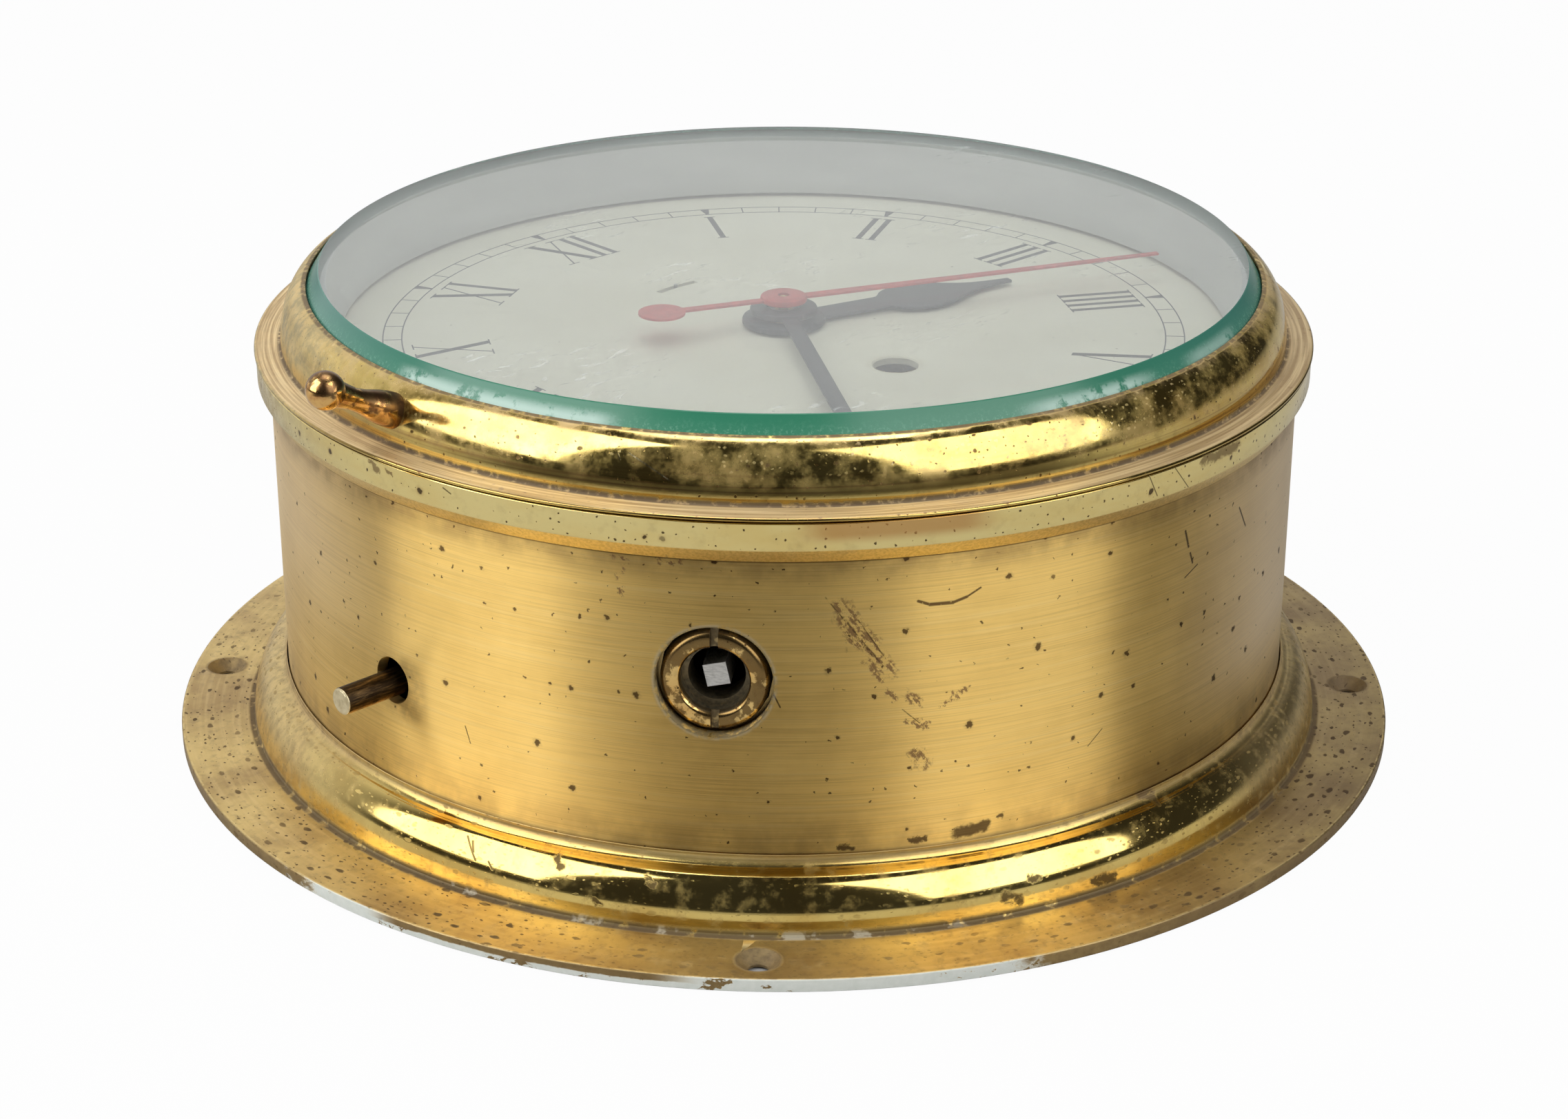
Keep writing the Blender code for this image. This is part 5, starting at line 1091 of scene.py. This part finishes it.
for radius in (printing["trackIn"], printing["trackOut"]):
    made.append(turned("circle", corners(radius - half, ink[0], radius + half, ink[1])))
tick = strokePlate("tick", printing["trackIn"], printing["trackOut"], 0.0, 0.0, printing["line"])
inner, outer = printing["trackIn"] - 0.1, printing["trackOut"] + 0.1
wedge = plate("wedge", [(-0.25, inner), (0.25, inner), (0.95, outer), (-0.95, outer)], *ink)
for minute in range(60):
    turn = Matrix.Rotation(-math.radians(6.0 * minute), 4, "Z")
    made.append(copyOf(wedge if minute % 5 == 0 else tick, "tick", turn))
bpy.data.objects.remove(tick)
bpy.data.objects.remove(wedge)
finished(joined("dial_printing", made), "case", finishes["ink"])
print("dial and printing")

# hands

handShapes = {
    "hour_hand": {
        "clock": 104.5, "hub": 7.8, "bore": 4.3, "boss": (71.15, 72.45), "blade": (71.4, 71.9),
        "half": [
            (2.9, 5.5), (2.9, 20.8), (3.1, 21.8), (3.8, 22.5), (4.9, 23.4), (5.9, 24.9),
            (6.55, 26.7), (6.9, 28.6), (6.85, 30.6), (6.5, 32.4), (5.8, 34.4), (4.8, 36.2),
            (3.6, 38.2), (2.6, 40.1), (1.85, 42.2), (1.35, 44.6), (1.0, 47.4), (0.8, 50.0),
        ],
    },
    "minute_hand": {
        "clock": 212.3, "hub": 6.35, "bore": 3.2, "boss": (73.2, 74.5), "blade": (73.5, 74.0),
        "half": [(1.5, 4.4), (1.5, 57.0), (0.95, 66.0), (0.15, 72.0)],
    },
    "seconds_hand": {
        "clock": 112.3, "hub": 4.4, "bore": 1.1, "boss": (75.4, 76.6), "blade": (75.7, 76.1),
        "half": [(1.1, 2.5), (1.1, 11.0), (0.8, 40.0), (0.6, 78.0)],
    },
}
tail = [(0.9, -2.5), (0.9, -19.8), *bow(0.0, -24.1, 4.4, 66.0, -78.0, 12), (0.3, -28.5)]
for name, shape in handShapes.items():
    turn = Matrix.Rotation(-math.radians(shape["clock"]), 4, "Z")
    low, high = shape["boss"]
    blade = shape["half"] + [(-x, y) for x, y in reversed(shape["half"])]
    parts = [plate("blade", blade, *shape["blade"], edge=0.14)]
    boss = [
        (shape["bore"], low), (shape["hub"] - 0.2, low), (shape["hub"], low + 0.2),
        (shape["hub"], high - 0.45), (shape["hub"] - 0.15, high - 0.15), (shape["hub"] - 0.5, high),
        (shape["bore"], high),
    ]
    parts.append(turned("boss", boss, 72))
    if name == "seconds_hand":
        outline = [(-x, y) for x, y in tail] + tail[::-1]
        parts.append(plate("tail", outline, *shape["blade"], edge=0.14))
    whole = settle(joined(name + "_shaped", parts), turn)
    paint = finishes["red" if name == "seconds_hand" else "hands"]
    finished(smooth(whole, 30.0), name.split("_")[0], paint, name)
print("hands")

# setting bush, stop pin and tab

bushRing = {
    "face": 95.5, "outer": 9.15, "mouth": 5.75, "step": 92.0, "bore": 4.85, "back": 86.5, "slot": 0.7,
}
its = bushRing
profile = [
    (its["outer"], its["back"]), (its["outer"], its["face"] - 1.3),
    *bow(its["outer"] - 1.5, its["face"] - 1.5, 1.5, 10.0, 80.0, 6),
]
profile += [
    (its["mouth"] + 1.15, its["face"]), *bow(its["mouth"] + 1.0, its["face"] - 0.9, 0.9, 85.0, 170.0, 6),
    (its["mouth"], its["step"]), (its["bore"], its["step"]), (its["bore"], its["back"]),
]
bush = turned("bush_ring", profile, 96)
for side in (1.0, -1.0):
    ends = corners(-its["slot"], side * 5.0, its["slot"], side * 12.0)
    cut(bush, plate("slot", ends, its["face"] - 1.5, its["face"] + 1.0))
settle(bush, outward(drumTube["bushClock"], drumTube["bushHeight"]))
finished(smooth(bush, 35.0), "case", finishes["bush"], "setting_bush")

stopPin = {"clock": 268.6, "height": 32.3, "radius": 2.47, "tip": 106.48, "start": 84.5}
its = stopPin
profile = [
    (0.0, its["tip"]), (its["radius"] - 0.4, its["tip"]), (its["radius"] - 0.1, its["tip"] - 0.12),
    (its["radius"], its["tip"] - 0.4), (its["radius"], its["start"]), (0.0, its["start"]),
]
pin = turned("stop_pin", profile, 64, outward(its["clock"], its["height"]), ring=False)
finished(smooth(pin, 35.0), "stop", finishes["pin"])

tabKnob = {"clock": 268.3, "tilt": 27.5, "ballAt": (106.2, 89.45), "ball": 3.36}
its = tabKnob
tilt = math.radians(its["tilt"])
out = Vector((*onClock(its["clock"], 1.0), 0.0))
lift = (out * math.cos(tilt) + Vector((0, 0, math.sin(tilt)))).normalized()
side = Vector((0, 0, 1)).cross(out).normalized()
ballAt = out * its["ballAt"][0] + Vector((0, 0, its["ballAt"][1]))
turn = Matrix((side, lift.cross(side), lift)).transposed().to_4x4()
length = (its["ballAt"][0] - 92.64) / math.cos(tilt) + 3.0
profile = [(0.0, length + its["ball"]), *bow(0.0, length, its["ball"], 86.0, -44.0, 18)]
profile += [
    (2.28, length - 3.1), (2.12, length - 4.2), (1.98, length - 5.6), (1.98, length - 7.0),
    (2.14, length - 8.4), (2.44, length - 9.8),
]
profile += [(2.80, length - 11.4), (3.02, length - 13.0), (3.10, length - 14.6), (3.10, 0.0), (0.0, 0.0)]
tab = turned("tab_knob", profile, 64, Matrix.Translation((ballAt - lift * length) * mm) @ turn, ring=False)
seat = oval(
    *bezelRing["roundAt"], bezelRing["roundWide"] + 0.02, bezelRing["roundTall"] + 0.02, 82.0, 0.0, 41,
)
cut(tab, turned("seat", [*seat, (84.0, bezelRing["roundAt"][1])], 360))
finished(smooth(tab, 30.0), "bezel_door", finishes["tab"], "bezel_tab")
print("bush, pin and tab")

# what the CAD already shapes well keeps its solid and gets a finish

byFinish = {
    "cover": ["rear_cover"],
    "fitting": ["setting_boss", "hinge_bracket", "hinge_leaf"],
    "movement": [
        "front_plate", "back_plate", "pallet_bridge", "balance_cock", "setting_bracket", "centre_wheel",
        "hour_wheel", "fourth_wheel", "minute_wheel", "third_wheel", "intermediate_wheel", "barrel",
        "barrel_cap", "balance_wheel",
    ],
    "steel": [
        "hinge_pin", "click_screw", "cannon_pinion", "transfer_arbor", "ratchet_wheel", "click",
        "escape_wheel", "pallet_lever", "regulator_index", "winding_arbor", "mainspring",
    ],
    "square": ["setting_arbor"],
    "spring": ["hairspring"],
    "pin": ["stop_lever"],
    "screw": [],
}
for name in nodes:
    if name.startswith(("rear_cover_screw", "dial_screw")):
        byFinish["screw"].append(name)
    if name.startswith(("movement_pillar", "dial_pillar")):
        byFinish["movement"].append(name)
for finish, names in byFinish.items():
    for name in names:
        nodes[name].data.materials.clear()
        nodes[name].data.materials.append(finishes[finish])
print("frame parts finished")

# floor, lights and camera

studio = {
    "floor": 0.45, "floorAhead": 0.04, "leftLamp": 12.8, "rightLamp": 9.8, "topLamp": 6.2, "near": 0.035,
    "far": 1.0, "brightest": 153.0, "spread": (0.42, 0.86), "tableEnd": (360.0, 460.0),
    "tableSide": (80.0, 50.0),
}
nothingSelected()
bpy.ops.mesh.primitive_plane_add(size=6.0, location=(0, 0, -0.0004))
floor = bpy.context.object
floor.name = "studio_floor"
f = Finish("white floor", Roughness=0.9)
radius, height, around = f.ring()
ahead = radius.rise(*studio["tableEnd"]) * around.size().rise(*studio["tableSide"])     # the table ends there
f.put(Base_Color=f.mix(ahead, (studio["floor"],) * 3, (studio["floorAhead"],) * 3))
rays = f.add("ShaderNodeLightPath", output="Is Camera Ray")
white = f.add("ShaderNodeEmission", values={"Color": (1, 1, 1, 1), "Strength": 1.0})
share = rays * radius.rise(112.0, 116.0) * 0.97
both = f.add("ShaderNodeMixShader", values={0: share, 1: Wire(f, f.shader.outputs[0]), 2: white})
f.tree.links.new(both.socket, f.tree.nodes["Material Output"].inputs["Surface"])
floor.data.materials.append(f.material)

world = bpy.data.worlds.new("studio") if not bpy.context.scene.world else bpy.context.scene.world
bpy.context.scene.world = world
world.use_nodes = True
tree = world.node_tree
tree.nodes.clear()
output = tree.nodes.new("ShaderNodeOutputWorld")
glow = tree.nodes.new("ShaderNodeBackground")
place = tree.nodes.new("ShaderNodeTexCoord")
away = tree.nodes.new("ShaderNodeVectorMath")
away.operation = "DOT_PRODUCT"
away.inputs[1].default_value = (*onClock(frontClock + studio["brightest"], 1.0), 0.0)
tone = tree.nodes.new("ShaderNodeMapRange")
tone.interpolation_type = "SMOOTHSTEP"
for key, value in enumerate((*studio["spread"], studio["near"], studio["far"]), 1):
    tone.inputs[key].default_value = value
seen = tree.nodes.new("ShaderNodeLightPath")
bright = tree.nodes.new("ShaderNodeMath")
bright.operation = "MAXIMUM"
tree.links.new(place.outputs["Generated"], away.inputs[0])
tree.links.new(away.outputs["Value"], tone.inputs[0])
tree.links.new(tone.outputs[0], bright.inputs[0])
tree.links.new(seen.outputs["Is Camera Ray"], bright.inputs[1])
tree.links.new(bright.outputs[0], glow.inputs["Strength"])
tree.links.new(glow.outputs[0], output.inputs["Surface"])


def softLamp(name, angle, distance, height, width, tall, power, aim=0.05):
    # a soft box that stands at a clock angle and looks at the clock
    x, y = onClock(angle, distance)
    bpy.ops.object.light_add(type="AREA", location=(x, y, height))
    lamp = bpy.context.object
    lamp.name = lamp.data.name = name
    lamp.data.shape, lamp.data.size, lamp.data.size_y, lamp.data.energy = "RECTANGLE", width, tall, power
    lamp.rotation_euler = (Vector((0, 0, aim)) - Vector((x, y, height))).to_track_quat("-Z", "Y").to_euler()
    return lamp


softLamp("left_softbox", frontClock + 68.0, 1.0, 0.72, 0.98, 1.25, studio["leftLamp"])
softLamp("right_softbox", frontClock - 49.0, 1.0, 0.72, 1.04, 1.25, studio["rightLamp"])
softLamp("top_softbox", frontClock + 180.0, 0.24, 1.3, 0.7, 0.7, studio["topLamp"])

nothingSelected()
view = {"from": (-0.3895, -0.4207, 0.2728), "tilt": 66.81, "turn": -42.8, "lens": 73.74, "film": 36.0}
aim = math.radians(view["tilt"]), 0.0, math.radians(view["turn"])
bpy.ops.object.camera_add(location=view["from"], rotation=aim)
camera = bpy.context.object
camera.data.lens, camera.data.sensor_width = view["lens"], view["film"]
bpy.context.scene.camera = camera
bpy.context.scene.view_settings.view_transform = "Standard"
print("studio")
